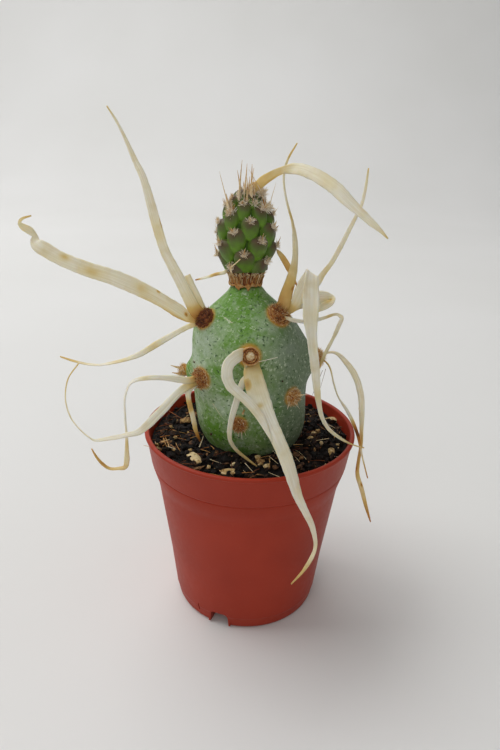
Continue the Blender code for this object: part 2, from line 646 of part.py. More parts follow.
def mound_rise(azimuth, height):
    """Return how far the mounds under the areoles lift the old joint's surface."""
    rise = 0.0
    for spot_azimuth, spot_height, lift, spread, _, _ in AREOLES.values():
        around = math.radians(azimuth_between(azimuth, spot_azimuth)) * barrel_radius(spot_height)
        distance = math.hypot(around, height - spot_height)
        rise += lift * math.exp(-0.5 * (distance / spread) ** 2)
    return rise


def areole_seat(name):
    """Return where an areole sits on the old joint, and the way it faces."""
    azimuth, height, *_ = AREOLES[name]
    radius = barrel_radius(height) + mound_rise(azimuth, height)
    outward = polar(1.0, azimuth)
    change = barrel_radius(height + SLOPE_STEP) - barrel_radius(height - SLOPE_STEP)
    slope = change / (2 * SLOPE_STEP)
    normal = (outward - Vector((0.0, 0.0, slope))).normalized()
    return stem_axis(height) + outward * radius, normal


def grow(obj, clearance):
    """Move an object's vertices out along their normals, by a length in mm."""
    places = [vertex.co + vertex.normal * clearance * MM for vertex in obj.data.vertices]
    for vertex, place in zip(obj.data.vertices, places):
        vertex.co = place


def stem_solid(name, collection, clearance=0.0):
    """Return the old joint's solid, grown on all sides by a clearance in mm."""
    barrel = [(radius, height) for height, radius in smooth_path(BARREL, PROFILE_STEPS)]
    neck = barrel[-1][0]
    profile = [(0.0, NECK_TOP), (neck, NECK_TOP), *reversed(barrel), (0.0, BARREL_FOOT)]
    stem = turned(name, profile, BARREL_SEGMENTS, collection)
    for vertex in stem.data.vertices:
        height = vertex.co.z / MM
        radius = math.hypot(vertex.co.x, vertex.co.y) / MM
        azimuth = math.degrees(math.atan2(vertex.co.y, vertex.co.x))
        lift = mound_rise(azimuth, height) * min(1.0, radius / MOUNDS_FADE_RADIUS) ** 2
        vertex.co = (stem_axis(height) + polar(radius + lift, azimuth)) * MM
        if radius < AXIS_TOLERANCE:
            vertex.co = stem_axis(height) * MM
    grow(stem, clearance)
    return stem


def build_collar(collection):
    """Return the neck collar: a flared ring with upright fibres round it."""
    neck_top = stem_axis(NECK_TOP)
    profile = [
        (COLLAR_BORE, NECK_TOP), (COLLAR_TOP_RADIUS, NECK_TOP),
        (COLLAR_TOP_RADIUS - FLARE_INSET, NECK_TOP - FLARE_DEPTH),
        (COLLAR_FOOT_RADIUS, COLLAR_FOOT + FOOT_BEAD_HEIGHT),
        (COLLAR_FOOT_RADIUS + FOOT_BEAD, COLLAR_FOOT), (COLLAR_BORE, COLLAR_FOOT),
    ]
    collar = turned("neck_collar", profile, COLLAR_SEGMENTS, collection)
    for vertex in collar.data.vertices:
        radius = math.hypot(vertex.co.x, vertex.co.y) / MM
        azimuth = math.degrees(math.atan2(vertex.co.y, vertex.co.x))
        fibre = round(azimuth * COLLAR_SEGMENTS / 360.0) % 2
        if radius > COLLAR_BORE + FIBRE_INSET:
            radius -= FIBRE_DEPTH * fibre
        place = polar(radius, azimuth, vertex.co.z / MM)
        vertex.co = (place + Vector((neck_top.x, neck_top.y, 0.0))) * MM
    return collar


def spiral(index):
    """Return the azimuth and the height of a tubercle's tip on the new joint."""
    azimuth = SPIRAL_START_AZIMUTH - GOLDEN_ANGLE * index
    height = SPIRAL_START_HEIGHT + SPIRAL_RISE * index - SPIRAL_CROWDING * index ** 2
    return azimuth, height


def core_radius(height):
    """Return the radius of the new joint's core at a height."""
    for (low, lower), (high, upper) in zip(CORE, CORE[1:]):
        if low <= height <= high:
            return lower + (upper - lower) * (height - low) / (high - low)
    return CORE[-1][1] if height > CORE[-1][0] else CORE[0][1]


def new_joint_point(radius, azimuth, height):
    """Return a point in mm from its place round the new joint's axis."""
    return polar(radius, azimuth, height) + Vector((*NEW_JOINT_AXIS, 0.0))


def tubercle_frame(index):
    """Return the matrix of a tubercle: X points out, Z up its length, in mm."""
    azimuth, height = spiral(index)
    centre_height = height - TUBERCLE_DROP * TUBERCLE_SIZE[2]
    centre = new_joint_point(core_radius(centre_height), azimuth, centre_height)
    change = core_radius(height - TAPER_STEP) - core_radius(height)
    taper = math.degrees(math.atan2(change, TAPER_STEP))
    tilt = math.radians(TUBERCLE_TILT - taper)
    turn = Matrix.Rotation(math.radians(azimuth), 4, "Z") @ Matrix.Rotation(tilt, 4, "Y")
    return Matrix.Translation(centre) @ turn


def tubercle_scale(index):
    """Return how large a tubercle is: they shrink toward the tip."""
    return 1.0 - TUBERCLE_SHRINK * (index / LAST_TUBERCLE) ** 2


def in_metres(matrix):
    """Return a placement given in mm as one in metres."""
    return Matrix.Scale(MM, 4) @ matrix


def new_joint_solid(name, collection, helpers, clearance=0.0):
    """Return the new joint's core with its tubercles, grown by a clearance in mm."""
    foot = CORE[0][0]
    core = smooth_path(CORE, PROFILE_STEPS)
    side = [(radius, height) for height, radius in reversed(core)]
    profile = [(0.0, side[0][1] + CORE_TIP_RISE), *side, (0.0, foot)]
    joint = turned(name, profile, CORE_SEGMENTS, collection)
    for vertex in joint.data.vertices:
        vertex.co.x += NEW_JOINT_AXIS[0] * MM
        vertex.co.y += NEW_JOINT_AXIS[1] * MM
    grow(joint, clearance)
    lumps = new_collection("tubercles", helpers)
    for index in range(FIRST_TUBERCLE, LAST_TUBERCLE + 1):
        size = [half * tubercle_scale(index) + clearance for half in TUBERCLE_SIZE]
        bm = bmesh.new()
        bmesh.ops.create_uvsphere(
            bm, u_segments=TUBERCLE_SIDES, v_segments=TUBERCLE_RINGS, radius=1.0,
            matrix=in_metres(tubercle_frame(index) @ Matrix.Diagonal((*size, 1.0))),
        )
        object_from_bmesh("tubercle", bm, lumps)
    if not clearance:
        add_new_joint_needles(lumps)
    fuse(joint, lumps, solver="MANIFOLD")
    bm = bmesh.new()
    centre = Vector((*NEW_JOINT_AXIS, foot - clearance - FOOT_CUTTER_DEPTH / 2))
    bmesh.ops.create_cone(
        bm, cap_ends=True, segments=FOOT_CUTTER_SIDES, radius1=FOOT_CUTTER_RADIUS * MM,
        radius2=FOOT_CUTTER_RADIUS * MM, depth=FOOT_CUTTER_DEPTH * MM,
        matrix=Matrix.Translation(centre * MM),
    )
    cut(joint, object_from_bmesh("flat_foot", bm, helpers))
    apply_modifiers(joint)
    return joint


def needle(name, root, direction, length, radius, collection):
    """Return a needle: a slim cone from its root, in mm."""
    turn = direction.to_track_quat("Z", "Y").to_matrix().to_4x4()
    centre = root + direction.normalized() * length / 2
    bm = bmesh.new()
    bmesh.ops.create_cone(
        bm, cap_ends=True, segments=NEEDLE_SIDES, radius1=radius, radius2=NEEDLE_TAPER * radius,
        depth=length, matrix=Matrix.Translation(centre) @ turn,
    )
    bmesh.ops.scale(bm, vec=(MM, MM, MM), verts=bm.verts)
    return object_from_bmesh(name, bm, collection)


def add_new_joint_needles(collection):
    """Add a woolly point and a short needle at the tip of each tubercle."""
    draw = random.Random(SPINE_SEED)
    for index in range(FIRST_TUBERCLE + 1, LAST_NEEDLED + 1):
        if index == AMBER_TUBERCLE:
            continue
        frame = tubercle_frame(index)
        areole = Vector((AREOLE_OUT * TUBERCLE_SIZE[0], 0.0, AREOLE_UP * TUBERCLE_SIZE[2]))
        tip = frame @ (areole * tubercle_scale(index))
        out = (frame.to_3x3() @ Vector(WOOL_WAY)).normalized()
        needle("areole_wool", tip, out, WOOL_LENGTH, WOOL_RADIUS, collection)
        sway = draw.uniform(-SHORT_NEEDLE_SWAY, SHORT_NEEDLE_SWAY)
        lean = Vector((SHORT_NEEDLE_OUT, sway, draw.uniform(*SHORT_NEEDLE_RISES)))
        way = (frame.to_3x3() @ lean).normalized()
        length = draw.uniform(*SHORT_NEEDLE_LENGTHS)
        needle("short_needle", tip, way, length, NEEDLE_RADIUS, collection)


def ribbon(name, stations, collection):
    """Return a flat papery spine through its stations, with a slim closed edge."""
    path = smooth_path(stations, STEPS_PER_STATION)
    places = [Vector(point[:3]) for point in path]
    bm = bmesh.new()
    rows = []
    for index, point in enumerate(path):
        before = places[max(index - 1, 0)]
        after = places[min(index + 1, len(places) - 1)]
        along = (after - before).normalized()
        across = along.cross(FACING).normalized()
        across = Matrix.Rotation(math.radians(point[4]), 3, along) @ across
        half = across * point[3] / 2
        rows.append([bm.verts.new((places[index] + side * half) * MM) for side in (-1, 1)])
    for (left, right), (next_left, next_right) in zip(rows, rows[1:]):
        bm.faces.new((left, right, next_right))
        bm.faces.new((left, next_right, next_left))
    spine = object_from_bmesh(name, bm, collection)
    solidify = spine.modifiers.new("thickness", "SOLIDIFY")
    solidify.thickness = SPINE_THICKNESS * MM
    solidify.offset = 0.0
    apply_modifiers(spine)
    return spine


def cushion(name, seat, normal, radius, depth, collection):
    """Return a woolly areole cushion, centred on its seat."""
    turn = normal.to_track_quat("Z", "Y").to_matrix().to_4x4()
    size = Matrix.Diagonal((radius, radius, depth, 1.0))
    bm = bmesh.new()
    bmesh.ops.create_uvsphere(
        bm, u_segments=CUSHION_SIDES, v_segments=CUSHION_RINGS, radius=1.0,
        matrix=in_metres(Matrix.Translation(seat) @ turn @ size),
    )
    return object_from_bmesh(name, bm, collection)


def build_spine_bunch(name, seat, normal, size, carrier, collection, helpers):
    """Return an areole's cushion with its spines, cut clear of what carries it."""
    bunch = cushion(name + "_spines", seat, normal, *size, collection)
    pieces = new_collection(name + "_pieces", helpers)
    for stations in SPINES[name]:
        first = Vector(stations[0])
        root = seat + (Vector(first[:3]) - seat) * ROOT_REACH
        ribbon("spine", [(*root, first[3], first[4]), *stations], pieces)
    if name == "crown":
        for azimuth, lean, length in CROWN_NEEDLES:
            slope = math.radians(lean)
            way = polar(math.sin(slope), azimuth, math.cos(slope))
            root = seat + way * CROWN_NEEDLE_LIFT
            needle("long_needle", root, way, length, NEEDLE_RADIUS, pieces)
    fuse(bunch, pieces)
    cut(bunch, carrier)
    return bunch


def bunch_places():
    """Return each bunch's name, seat, facing and cushion size, and whether the old joint bears it."""
    places = [(name, *areole_seat(name), areole[4:], True) for name, areole in AREOLES.items()]
    places.append(("crown", Vector(CROWN_CENTRE), Vector((0.0, 0.0, 1.0)), CROWN_SIZE, False))
    for name, (azimuth, height, reach) in NEW_JOINT_AREOLES.items():
        seat = new_joint_point(core_radius(height) + reach, azimuth, height)
        places.append((name, seat, polar(1.0, azimuth), NEW_AREOLE_SIZE, False))
    return places


def build_cactus():
    """Build every sub-part of the potted cactus."""
    clear_scene()
    parts = new_collection("paper_spine_cactus")
    helpers = new_collection("cutters")
    material = {name: new_material(name) for name in FINISHES}

    finish(build_pot(parts, helpers), material["terracotta_plastic"])
    stem_cutter = stem_solid("stem_clearance", helpers, GAP)
    finish(build_soil(parts, helpers, stem_cutter), material["potting_soil"])
    finish(stem_solid("old_joint", parts), material["glaucous_skin"])
    finish(build_collar(parts), material["collar_fibre"])
    finish(new_joint_solid("new_joint", parts, helpers), material["young_skin"])

    joint_cutter = new_joint_solid("joint_clearance", helpers, helpers, GAP)
    for name, seat, normal, size, on_old_joint in bunch_places():
        carrier = stem_cutter if on_old_joint else joint_cutter
        spine = "amber_spine" if name in NEW_JOINT_AREOLES else "papery_spine"
        bunch = build_spine_bunch(name, seat, normal, size, carrier, parts, helpers)
        finish(bunch, material[spine])


if __name__ == "__main__":
    build_cactus()
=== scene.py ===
"""Looks of a paper spine cactus in its small nursery pot.

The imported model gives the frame: metres, +Z up, the origin under the pot's base
and the front toward -Y. Tables and fields are in millimetres, as in the part,
and MM turns them into metres. Each class makes one sub-assembly in mesh code
and dresses it, and main() builds them in order.
"""

from __future__ import annotations

import logging
import math
import random
from collections.abc import Iterable, Sequence
from dataclasses import dataclass, field
from enum import Enum

import bmesh
import bpy
from mathutils import Matrix, Vector, noise

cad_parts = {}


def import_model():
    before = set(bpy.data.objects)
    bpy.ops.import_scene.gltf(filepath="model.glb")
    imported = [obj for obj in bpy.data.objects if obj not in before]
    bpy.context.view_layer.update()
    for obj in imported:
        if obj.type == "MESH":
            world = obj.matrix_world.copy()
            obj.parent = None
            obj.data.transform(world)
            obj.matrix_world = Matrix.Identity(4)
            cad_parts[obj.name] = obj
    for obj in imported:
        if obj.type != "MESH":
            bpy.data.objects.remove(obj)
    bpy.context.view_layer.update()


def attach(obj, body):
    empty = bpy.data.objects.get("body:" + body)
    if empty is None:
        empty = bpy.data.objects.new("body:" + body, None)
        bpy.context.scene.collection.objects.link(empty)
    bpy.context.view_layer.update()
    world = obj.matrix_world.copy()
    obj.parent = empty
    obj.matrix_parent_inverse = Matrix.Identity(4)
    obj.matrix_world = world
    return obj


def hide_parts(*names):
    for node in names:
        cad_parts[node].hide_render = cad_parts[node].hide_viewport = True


LOG = logging.getLogger("paper_spine_cactus")

MM = 0.001
UP = Vector((0.0, 0.0, 1.0))
GOLDEN_ANGLE = 137.508
# A blade that isn't turned lies with its flat side facing this way.
FACING = Vector((0.0, -0.91, 0.41))

Stations = list[tuple[float, ...]]

# Areoles of the old joint: azimuth, height, how far the mound under them rises
# and spreads, and the radius and the depth of the woolly cushion.
AREOLES: dict[str, tuple[float, float, float, float, float, float]] = {
    "upper_left": (212.0, 81.6, 1.8, 3.4, 2.5, 1.7),
    "lower_left": (224.0, 68.0, 1.4, 3.6, 2.4, 1.5),
    "left_back": (177.0, 65.2, 2.6, 2.2, 1.6, 1.2),
    "front": (272.0, 75.4, 1.0, 4.0, 2.4, 1.2),
    "upper_right": (316.0, 83.2, 2.0, 3.6, 2.7, 1.7),
    "right": (6.0, 69.5, 3.4, 3.2, 2.0, 1.5),
    "low_right": (313.0, 64.0, 1.2, 4.0, 2.0, 1.1),
    "low_front": (260.0, 57.8, 0.8, 3.4, 1.8, 1.0),
    "upper_back": (95.0, 80.5, 1.8, 4.2, 2.4, 1.5),
    "middle_back": (128.0, 72.0, 1.6, 4.2, 2.2, 1.4),
    "low_back": (62.0, 63.0, 1.6, 4.2, 2.0, 1.2),
}

# Blades of each areole, as the photo shows them and, at the back, as such a plant grows
# them. A station holds x, y, z, the width there, and how far the flat side is turned there,
# in degrees.
BLADES: dict[str, list[Stations]] = {
    "upper_left": [
        [  # tall, up and back to the left
            (-13.6, -6.5, 83.7, 3.2, 0), (-14.9, -7.0, 86.5, 2.8, 0), (-17.6, -7.0, 92.0, 2.5, 0),
            (-20.5, -6.0, 97.4, 2.2, 0), (-22.8, -3.5, 103.7, 2.2, 10), (-25.8, 1.0, 111.9, 1.8, 20),
            (-28.2, 3.5, 116.0, 1.4, 20), (-30.4, 5.5, 120.2, 0.9, 30), (-32.6, 7.0, 124.0, 0.6, 20),
            (-35.0, 8.0, 127.4, 0.3, 0),
        ],
        [  # broken off short, behind the tall one
            (-12.2, -4.8, 83.5, 2.1, 0), (-13.6, -4.6, 86.6, 2.1, 0), (-15.0, -4.3, 89.3, 2.1, 0),
            (-15.9, -4.1, 91.3, 2.0, 0),
        ],
        [  # long and broad, folded near its end
            (-15.0, -7.0, 81.8, 1.9, 0), (-17.0, -8.0, 83.6, 3.1, 0), (-20.9, -9.5, 86.6, 3.1, 0),
            (-24.5, -10.5, 88.9, 3.4, 0), (-28.8, -11.0, 91.0, 3.6, 0), (-33.0, -11.3, 92.6, 3.4, 0),
            (-37.1, -11.5, 93.8, 3.3, 0), (-42.3, -11.3, 95.8, 3.1, 0), (-46.0, -10.8, 97.7, 3.2, 0),
            (-47.6, -10.3, 98.5, 3.0, 0), (-48.5, -9.3, 99.2, 2.2, 25), (-48.7, -8.6, 100.1, 1.4, 50),
            (-49.8, -8.3, 101.2, 1.8, 20), (-51.1, -8.4, 102.0, 1.5, 0), (-51.8, -8.6, 102.9, 0.8, 20),
            (-51.0, -8.9, 103.9, 0.6, 20), (-48.9, -9.0, 104.6, 0.3, 0),
        ],
        [  # low and slender, out to the left
            (-14.6, -6.5, 79.9, 1.3, 0), (-17.4, -5.7, 78.2, 1.3, 0), (-22.4, -4.8, 74.9, 1.6, 0),
            (-27.3, -4.0, 71.5, 1.4, 0), (-31.4, -3.4, 69.6, 1.2, 40), (-37.0, -2.5, 67.8, 1.2, 60),
            (-40.7, -1.8, 67.4, 1.0, 60), (-44.7, -1.0, 67.8, 0.7, 50), (-48.7, 0.0, 68.6, 0.3, 0),
        ],
    ],
    "lower_left": [
        [  # out level, then hooked down
            (-14.9, -12.0, 68.1, 1.7, 0), (-17.1, -12.8, 68.7, 1.7, 0), (-20.1, -13.5, 69.2, 1.3, 0),
            (-23.4, -14.2, 69.4, 1.2, 15), (-25.9, -14.5, 69.1, 1.1, 35), (-27.7, -14.6, 68.3, 1.2, 55),
            (-28.7, -14.6, 66.7, 1.3, 60), (-29.6, -14.4, 63.4, 1.4, 65), (-29.8, -14.0, 58.7, 1.3, 60),
            (-29.8, -13.4, 54.1, 1.2, 50), (-30.1, -12.7, 49.6, 1.3, 30), (-30.4, -12.2, 45.9, 1.4, 0),
            (-31.0, -12.0, 44.0, 1.2, 20), (-32.6, -12.0, 43.6, 1.0, 50), (-34.7, -12.2, 43.6, 0.9, 50),
            (-36.4, -12.5, 45.0, 0.9, 50), (-37.7, -12.8, 47.1, 0.6, 40), (-38.7, -13.0, 49.6, 0.3, 0),
        ],
        [  # arched down, then swept up in a fine thread
            (-15.1, -12.6, 66.8, 1.9, 0), (-17.2, -14.5, 65.6, 1.9, 0), (-19.7, -16.8, 63.3, 2.0, 0),
            (-22.1, -18.2, 61.0, 2.0, 0), (-23.9, -18.8, 59.2, 1.8, 0), (-25.8, -19.0, 57.7, 1.6, 20),
            (-28.2, -19.0, 56.9, 1.2, 30), (-32.1, -18.5, 55.7, 1.1, 30), (-35.8, -17.8, 54.6, 0.7, 30),
            (-37.3, -17.2, 54.6, 0.4, 0), (-40.3, -15.7, 56.2, 0.3, 0), (-43.1, -13.5, 58.6, 0.3, 0),
            (-44.7, -10.8, 62.0, 0.3, 0), (-44.6, -7.8, 65.8, 0.3, 0), (-42.6, -5.0, 68.8, 0.3, 0),
        ],
        [  # hanging close to the stem
            (-14.6, -12.6, 65.9, 1.4, 0), (-14.7, -13.0, 64.0, 1.2, 0), (-14.3, -13.0, 61.7, 1.2, 0),
            (-13.6, -13.0, 58.5, 1.2, 0), (-13.0, -13.0, 55.3, 1.0, 20), (-12.0, -12.6, 52.2, 0.3, 0),
        ],
    ],
    "front": [
        [  # long and broad, down over the lip
            (0.1, -14.8, 73.3, 3.6, 0), (0.3, -16.4, 72.2, 4.2, 0), (0.9, -18.2, 70.3, 4.7, 0),
            (1.8, -20.2, 68.3, 4.6, 0), (3.0, -22.2, 66.1, 4.1, 0), (4.4, -24.2, 63.6, 3.5, 0),
            (6.0, -26.4, 61.2, 3.1, 0), (7.7, -28.4, 58.1, 3.0, 0), (9.2, -30.4, 54.6, 2.7, 0),
            (10.6, -32.0, 50.7, 2.1, 0), (12.3, -33.2, 47.5, 1.6, 10), (14.0, -33.9, 44.2, 1.3, 10),
            (15.0, -34.3, 40.6, 0.9, 20), (15.1, -34.4, 38.2, 0.8, 30), (14.3, -34.2, 35.1, 0.9, 20),
            (12.7, -33.8, 31.3, 0.6, 10), (10.5, -33.0, 27.2, 0.3, 0),
        ],
        [  # curled out to the left and back over the long one
            (-2.5, -15.6, 76.3, 2.7, 0), (-3.7, -17.2, 76.1, 2.8, 0), (-5.0, -18.8, 75.2, 2.6, 0),
            (-5.4, -20.2, 73.6, 2.5, 0), (-4.7, -21.2, 71.4, 2.4, 0), (-3.0, -22.0, 69.8, 2.2, 0),
            (-1.1, -22.4, 68.3, 2.1, 0), (0.7, -23.0, 66.6, 2.0, 0), (2.4, -24.2, 64.6, 1.7, 0),
            (4.0, -25.9, 62.1, 0.9, 0), (4.9, -27.0, 60.5, 0.3, 0),
        ],
        [  # slender, trailing to the soil
            (-1.0, -16.2, 71.6, 1.1, 0), (-1.9, -17.4, 70.4, 1.4, 0), (-2.7, -18.0, 67.9, 1.5, 0),
            (-3.5, -18.2, 64.7, 1.5, 0), (-4.3, -18.0, 61.3, 1.3, 10), (-4.7, -17.7, 57.7, 1.2, 20),
            (-4.4, -17.4, 55.1, 1.0, 20), (-2.9, -17.2, 52.6, 0.8, 0), (-0.4, -17.2, 50.4, 0.6, 0),
            (2.0, -17.6, 48.7, 0.3, 0),
        ],
    ],
    "upper_right": [
        [  # amber at its foot, in a long S up and back
            (6.9, -6.6, 85.3, 3.0, 0), (7.4, -6.2, 87.4, 2.9, 0), (8.1, -5.6, 89.9, 2.5, 0),
            (8.8, -4.6, 92.5, 2.1, 10), (9.3, -3.0, 95.2, 1.7, 30), (9.4, -1.2, 97.6, 1.5, 30),
            (9.2, 1.0, 100.3, 1.7, 50), (8.6, 3.4, 103.4, 1.4, 60), (7.3, 6.2, 107.3, 0.9, 50),
            (6.5, 8.8, 111.1, 0.6, 40), (6.5, 10.4, 114.2, 0.6, 30), (7.4, 11.6, 117.1, 0.5, 20),
            (9.4, 13.0, 120.5, 0.3, 0),
        ],
        [  # broad, up and over toward the front, then down to the lip
            (9.5, -6.6, 85.4, 2.1, 0), (10.4, -7.0, 87.7, 2.9, 0), (11.4, -7.8, 90.4, 3.3, 0),
            (12.4, -9.2, 92.9, 3.1, 0), (12.8, -10.6, 94.2, 3.0, 0), (12.7, -11.8, 94.2, 3.0, 0),
            (12.5, -12.7, 93.1, 3.1, 0), (12.5, -13.6, 91.0, 3.5, 0), (12.6, -14.6, 88.4, 3.7, 0),
            (12.6, -15.8, 85.3, 3.3, 0), (12.9, -16.8, 82.5, 2.5, 0), (13.4, -17.9, 78.7, 2.1, 0),
            (14.2, -18.3, 74.1, 2.0, 0), (14.8, -18.2, 69.8, 1.6, 0), (15.5, -17.8, 66.1, 1.2, 10),
            (16.6, -17.0, 62.0, 1.0, 20), (18.6, -16.0, 58.4, 0.9, 20), (21.7, -14.5, 55.3, 0.7, 10),
            (25.0, -13.0, 52.9, 0.3, 0), (28.3, -11.5, 51.2, 0.3, 0),
        ],
        [  # rising to the right
            (9.7, -3.5, 85.0, 1.9, 0), (12.5, -1.6, 86.8, 1.9, 0), (15.2, 0.6, 89.3, 1.7, 0),
            (16.6, 1.6, 91.4, 1.4, 10), (18.5, 2.6, 93.8, 1.2, 20), (20.7, 3.8, 97.8, 1.2, 20),
            (23.1, 5.0, 102.9, 1.1, 30), (25.1, 6.0, 107.5, 0.9, 30), (25.8, 6.6, 111.6, 0.7, 20),
            (26.1, 7.0, 115.6, 0.3, 0),
        ],
        [  # short and broad, folded back on itself
            (10.4, -3.0, 84.4, 1.9, 0), (12.7, -1.4, 85.0, 2.9, 0), (15.0, 0.4, 85.3, 3.9, 0),
            (17.0, 1.6, 85.4, 3.6, 0), (18.6, 2.0, 85.3, 2.5, 0), (19.4, 1.4, 85.3, 1.6, 0),
            (19.3, 0.6, 85.1, 1.6, 0), (18.3, 0.0, 84.4, 1.9, 0), (16.8, -0.6, 83.7, 1.8, 0),
            (15.0, -1.2, 82.9, 1.2, 0),
        ],
        [  # slender, out behind the broad one and bent down at an elbow
            (7.2, -8.4, 83.2, 0.6, 0), (8.8, -9.0, 82.8, 0.9, 0), (11.4, -8.2, 82.2, 0.9, 0),
            (14.0, -6.0, 81.7, 0.9, 0), (17.1, -3.0, 81.7, 0.8, 20), (20.1, 0.0, 81.8, 0.7, 40),
            (21.5, 1.2, 81.1, 0.9, 40), (22.1, 1.6, 80.3, 1.0, 10), (21.6, 1.4, 78.9, 1.1, 0),
            (20.8, 1.0, 76.7, 1.0, 20), (20.1, 0.8, 75.0, 0.9, 40), (19.0, 0.4, 72.6, 0.9, 20),
            (17.9, 0.0, 70.0, 0.8, 30), (17.2, -0.6, 67.6, 0.3, 0),
        ],
    ],
    "right": [
        [  # hanging outside the pot
            (18.6, 1.4, 71.0, 0.5, 40), (20.0, 0.9, 71.6, 0.8, 50), (21.5, 0.5, 71.4, 1.0, 40),
            (23.1, 0.2, 70.1, 1.2, 20), (25.5, -0.2, 67.3, 1.6, 0), (27.2, -0.6, 64.2, 1.6, 0),
            (28.4, -1.2, 60.1, 1.6, 0), (28.9, -1.6, 55.7, 1.4, 20), (29.2, -2.0, 51.3, 1.1, 45),
            (29.4, -2.4, 47.1, 1.0, 50), (29.1, -2.8, 41.8, 0.9, 30), (29.2, -3.0, 38.3, 1.1, 0),
            (30.7, -3.1, 34.0, 1.2, 0), (32.5, -3.1, 28.3, 0.9, 0), (34.2, -3.0, 23.4, 0.3, 0),
        ],
        [  # thread beside it
            (18.4, 0.8, 69.3, 0.4, 0), (19.9, -0.2, 67.7, 0.4, 0), (21.1, -1.2, 63.7, 0.4, 0),
            (22.4, -2.2, 60.5, 0.4, 0), (24.4, -3.6, 57.9, 0.8, 0), (25.9, -4.8, 55.5, 0.9, 0),
            (27.4, -6.0, 52.3, 0.8, 20), (28.2, -6.4, 49.7, 0.7, 20), (29.3, -6.2, 45.6, 0.4, 0),
            (31.4, -5.6, 39.0, 0.3, 0),
        ],
    ],
    "crown": [
        [  # broad, arched over to the right
            (-0.2, -0.6, 111.2, 2.4, 0), (1.3, -1.8, 112.6, 2.3, 0), (2.9, -3.0, 113.8, 1.9, 20),
            (4.5, -4.2, 114.8, 1.7, 45), (6.2, -5.4, 115.4, 1.8, 40), (8.2, -6.9, 115.7, 2.5, 0),
            (10.3, -8.6, 115.4, 2.7, 0), (13.1, -10.8, 114.3, 2.9, 0), (16.1, -13.0, 112.5, 3.0, 0),
            (18.7, -14.8, 110.2, 2.7, 0), (21.0, -16.1, 108.3, 2.0, 0), (23.4, -17.2, 106.4, 1.6, 0),
            (25.3, -17.8, 104.9, 0.9, 0), (27.0, -18.2, 103.3, 0.3, 0),
        ],
    ],
    "new_right": [
        [
            (5.0, 0.6, 97.0, 1.0, 0), (6.1, 1.0, 95.8, 1.3, 0), (7.4, 1.8, 93.9, 1.5, 0),
            (8.6, 2.6, 91.7, 1.3, 0), (9.8, 3.3, 89.4, 0.7, 0), (10.9, 3.6, 87.2, 0.3, 0),
        ],
    ],
    "new_left": [
        [
            (-6.9, 1.4, 91.3, 0.9, 0), (-9.4, 3.0, 90.2, 0.8, 0), (-11.7, 4.4, 89.1, 0.7, 20),
            (-14.7, 6.0, 87.9, 0.3, 0),
        ],
    ],
    "upper_back": [
        [
            (-2.0, 12.0, 82.0, 2.4, 0), (-3.0, 17.0, 84.0, 2.8, 10), (-4.5, 23.0, 82.0, 3.0, 10),
            (-6.0, 28.5, 75.0, 2.8, 0), (-7.5, 31.5, 66.0, 2.2, 0), (-8.0, 32.5, 56.0, 1.4, 20),
            (-7.0, 32.5, 48.0, 0.3, 0),
        ],
        [
            (-1.0, 12.0, 80.5, 2.0, 0), (1.0, 17.0, 80.5, 2.4, 0), (4.0, 21.5, 77.0, 2.4, 0),
            (6.5, 24.0, 71.0, 2.0, 10), (8.5, 25.0, 64.0, 1.4, 20), (9.5, 24.0, 57.0, 0.3, 0),
        ],
    ],
    "middle_back": [
        [
            (-11.5, 12.0, 72.5, 2.0, 0), (-13.0, 15.5, 73.0, 2.2, 0), (-14.5, 20.0, 70.0, 2.2, 10),
            (-14.5, 24.0, 64.0, 1.8, 20), (-13.0, 25.5, 58.0, 1.2, 20), (-11.5, 24.5, 53.5, 0.3, 0),
        ],
    ],
    "low_back": [
        [
            (7.0, 16.0, 63.0, 1.8, 0), (8.5, 19.0, 62.5, 1.8, 0), (10.5, 22.0, 59.0, 1.6, 0),
            (12.0, 23.0, 55.0, 1.0, 0), (12.5, 22.5, 51.5, 0.3, 0),
        ],
    ],
}


class Slot(Enum):
    """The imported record's material slots."""

    POT = "terracotta_plastic"
    SOIL = "potting_soil"
    SKIN = "glaucous_skin"
    YOUNG = "young_skin"
    COLLAR = "collar_fibre"
    PAPER = "papery_spine"
    AMBER = "amber_spine"


def linear(colour: str) -> tuple[float, float, float, float]:
    """Turn an sRGB hex colour into linear RGBA.

    Args:
        colour: a colour such as "#9C3F2B".

    Returns:
        Red, green and blue as linear shares, and an alpha of 1.
    """
    shares = [int(colour[index:index + 2], 16) / 255.0 for index in (1, 3, 5)]
    red, green, blue = (
        share / 12.92 if share <= 0.04045 else ((share + 0.055) / 1.055) ** 2.4 for share in shares
    )
    return red, green, blue, 1.0


def waves(millimetres: float) -> float:
    """Return the texture scale whose pattern repeats about every so many mm."""
    return 1.0 / (millimetres * MM)


def add(
    tree: bpy.types.NodeTree,
    kind: str,
    inputs: dict[str | int, object] | None = None,
    stops: Sequence[tuple[float, str]] = (),
    **settings: object,
) -> bpy.types.Node:
    """Add a shader node with its settings, its values and its links.

    Args:
        tree: the material's node tree.
        kind: the node's kind, without "ShaderNode".
        inputs: for a socket's name or number, a socket to link from or a value.
        stops: for a colour ramp, each place and its sRGB hex colour.
        settings: the node's own properties.

    Returns:
        The new node.
    """
    node = tree.nodes.new("ShaderNode" + kind)
    for name, value in settings.items():
        setattr(node, name, value)
    for key, value in (inputs or {}).items():
        if isinstance(value, bpy.types.NodeSocket):
            tree.links.new(value, node.inputs[key])
        else:
            node.inputs[key].default_value = value
    for index, (place, colour) in enumerate(stops):
        elements = node.color_ramp.elements
        element = elements[index] if index < 2 else elements.new(place)
        element.position = place
        element.color = linear(colour)
    return node


# Sockets of the Mix node when it mixes colours, and of its colour result.
MIX_SHARE, MIX_FIRST, MIX_SECOND, MIX_COLOUR = 0, 6, 7, 2


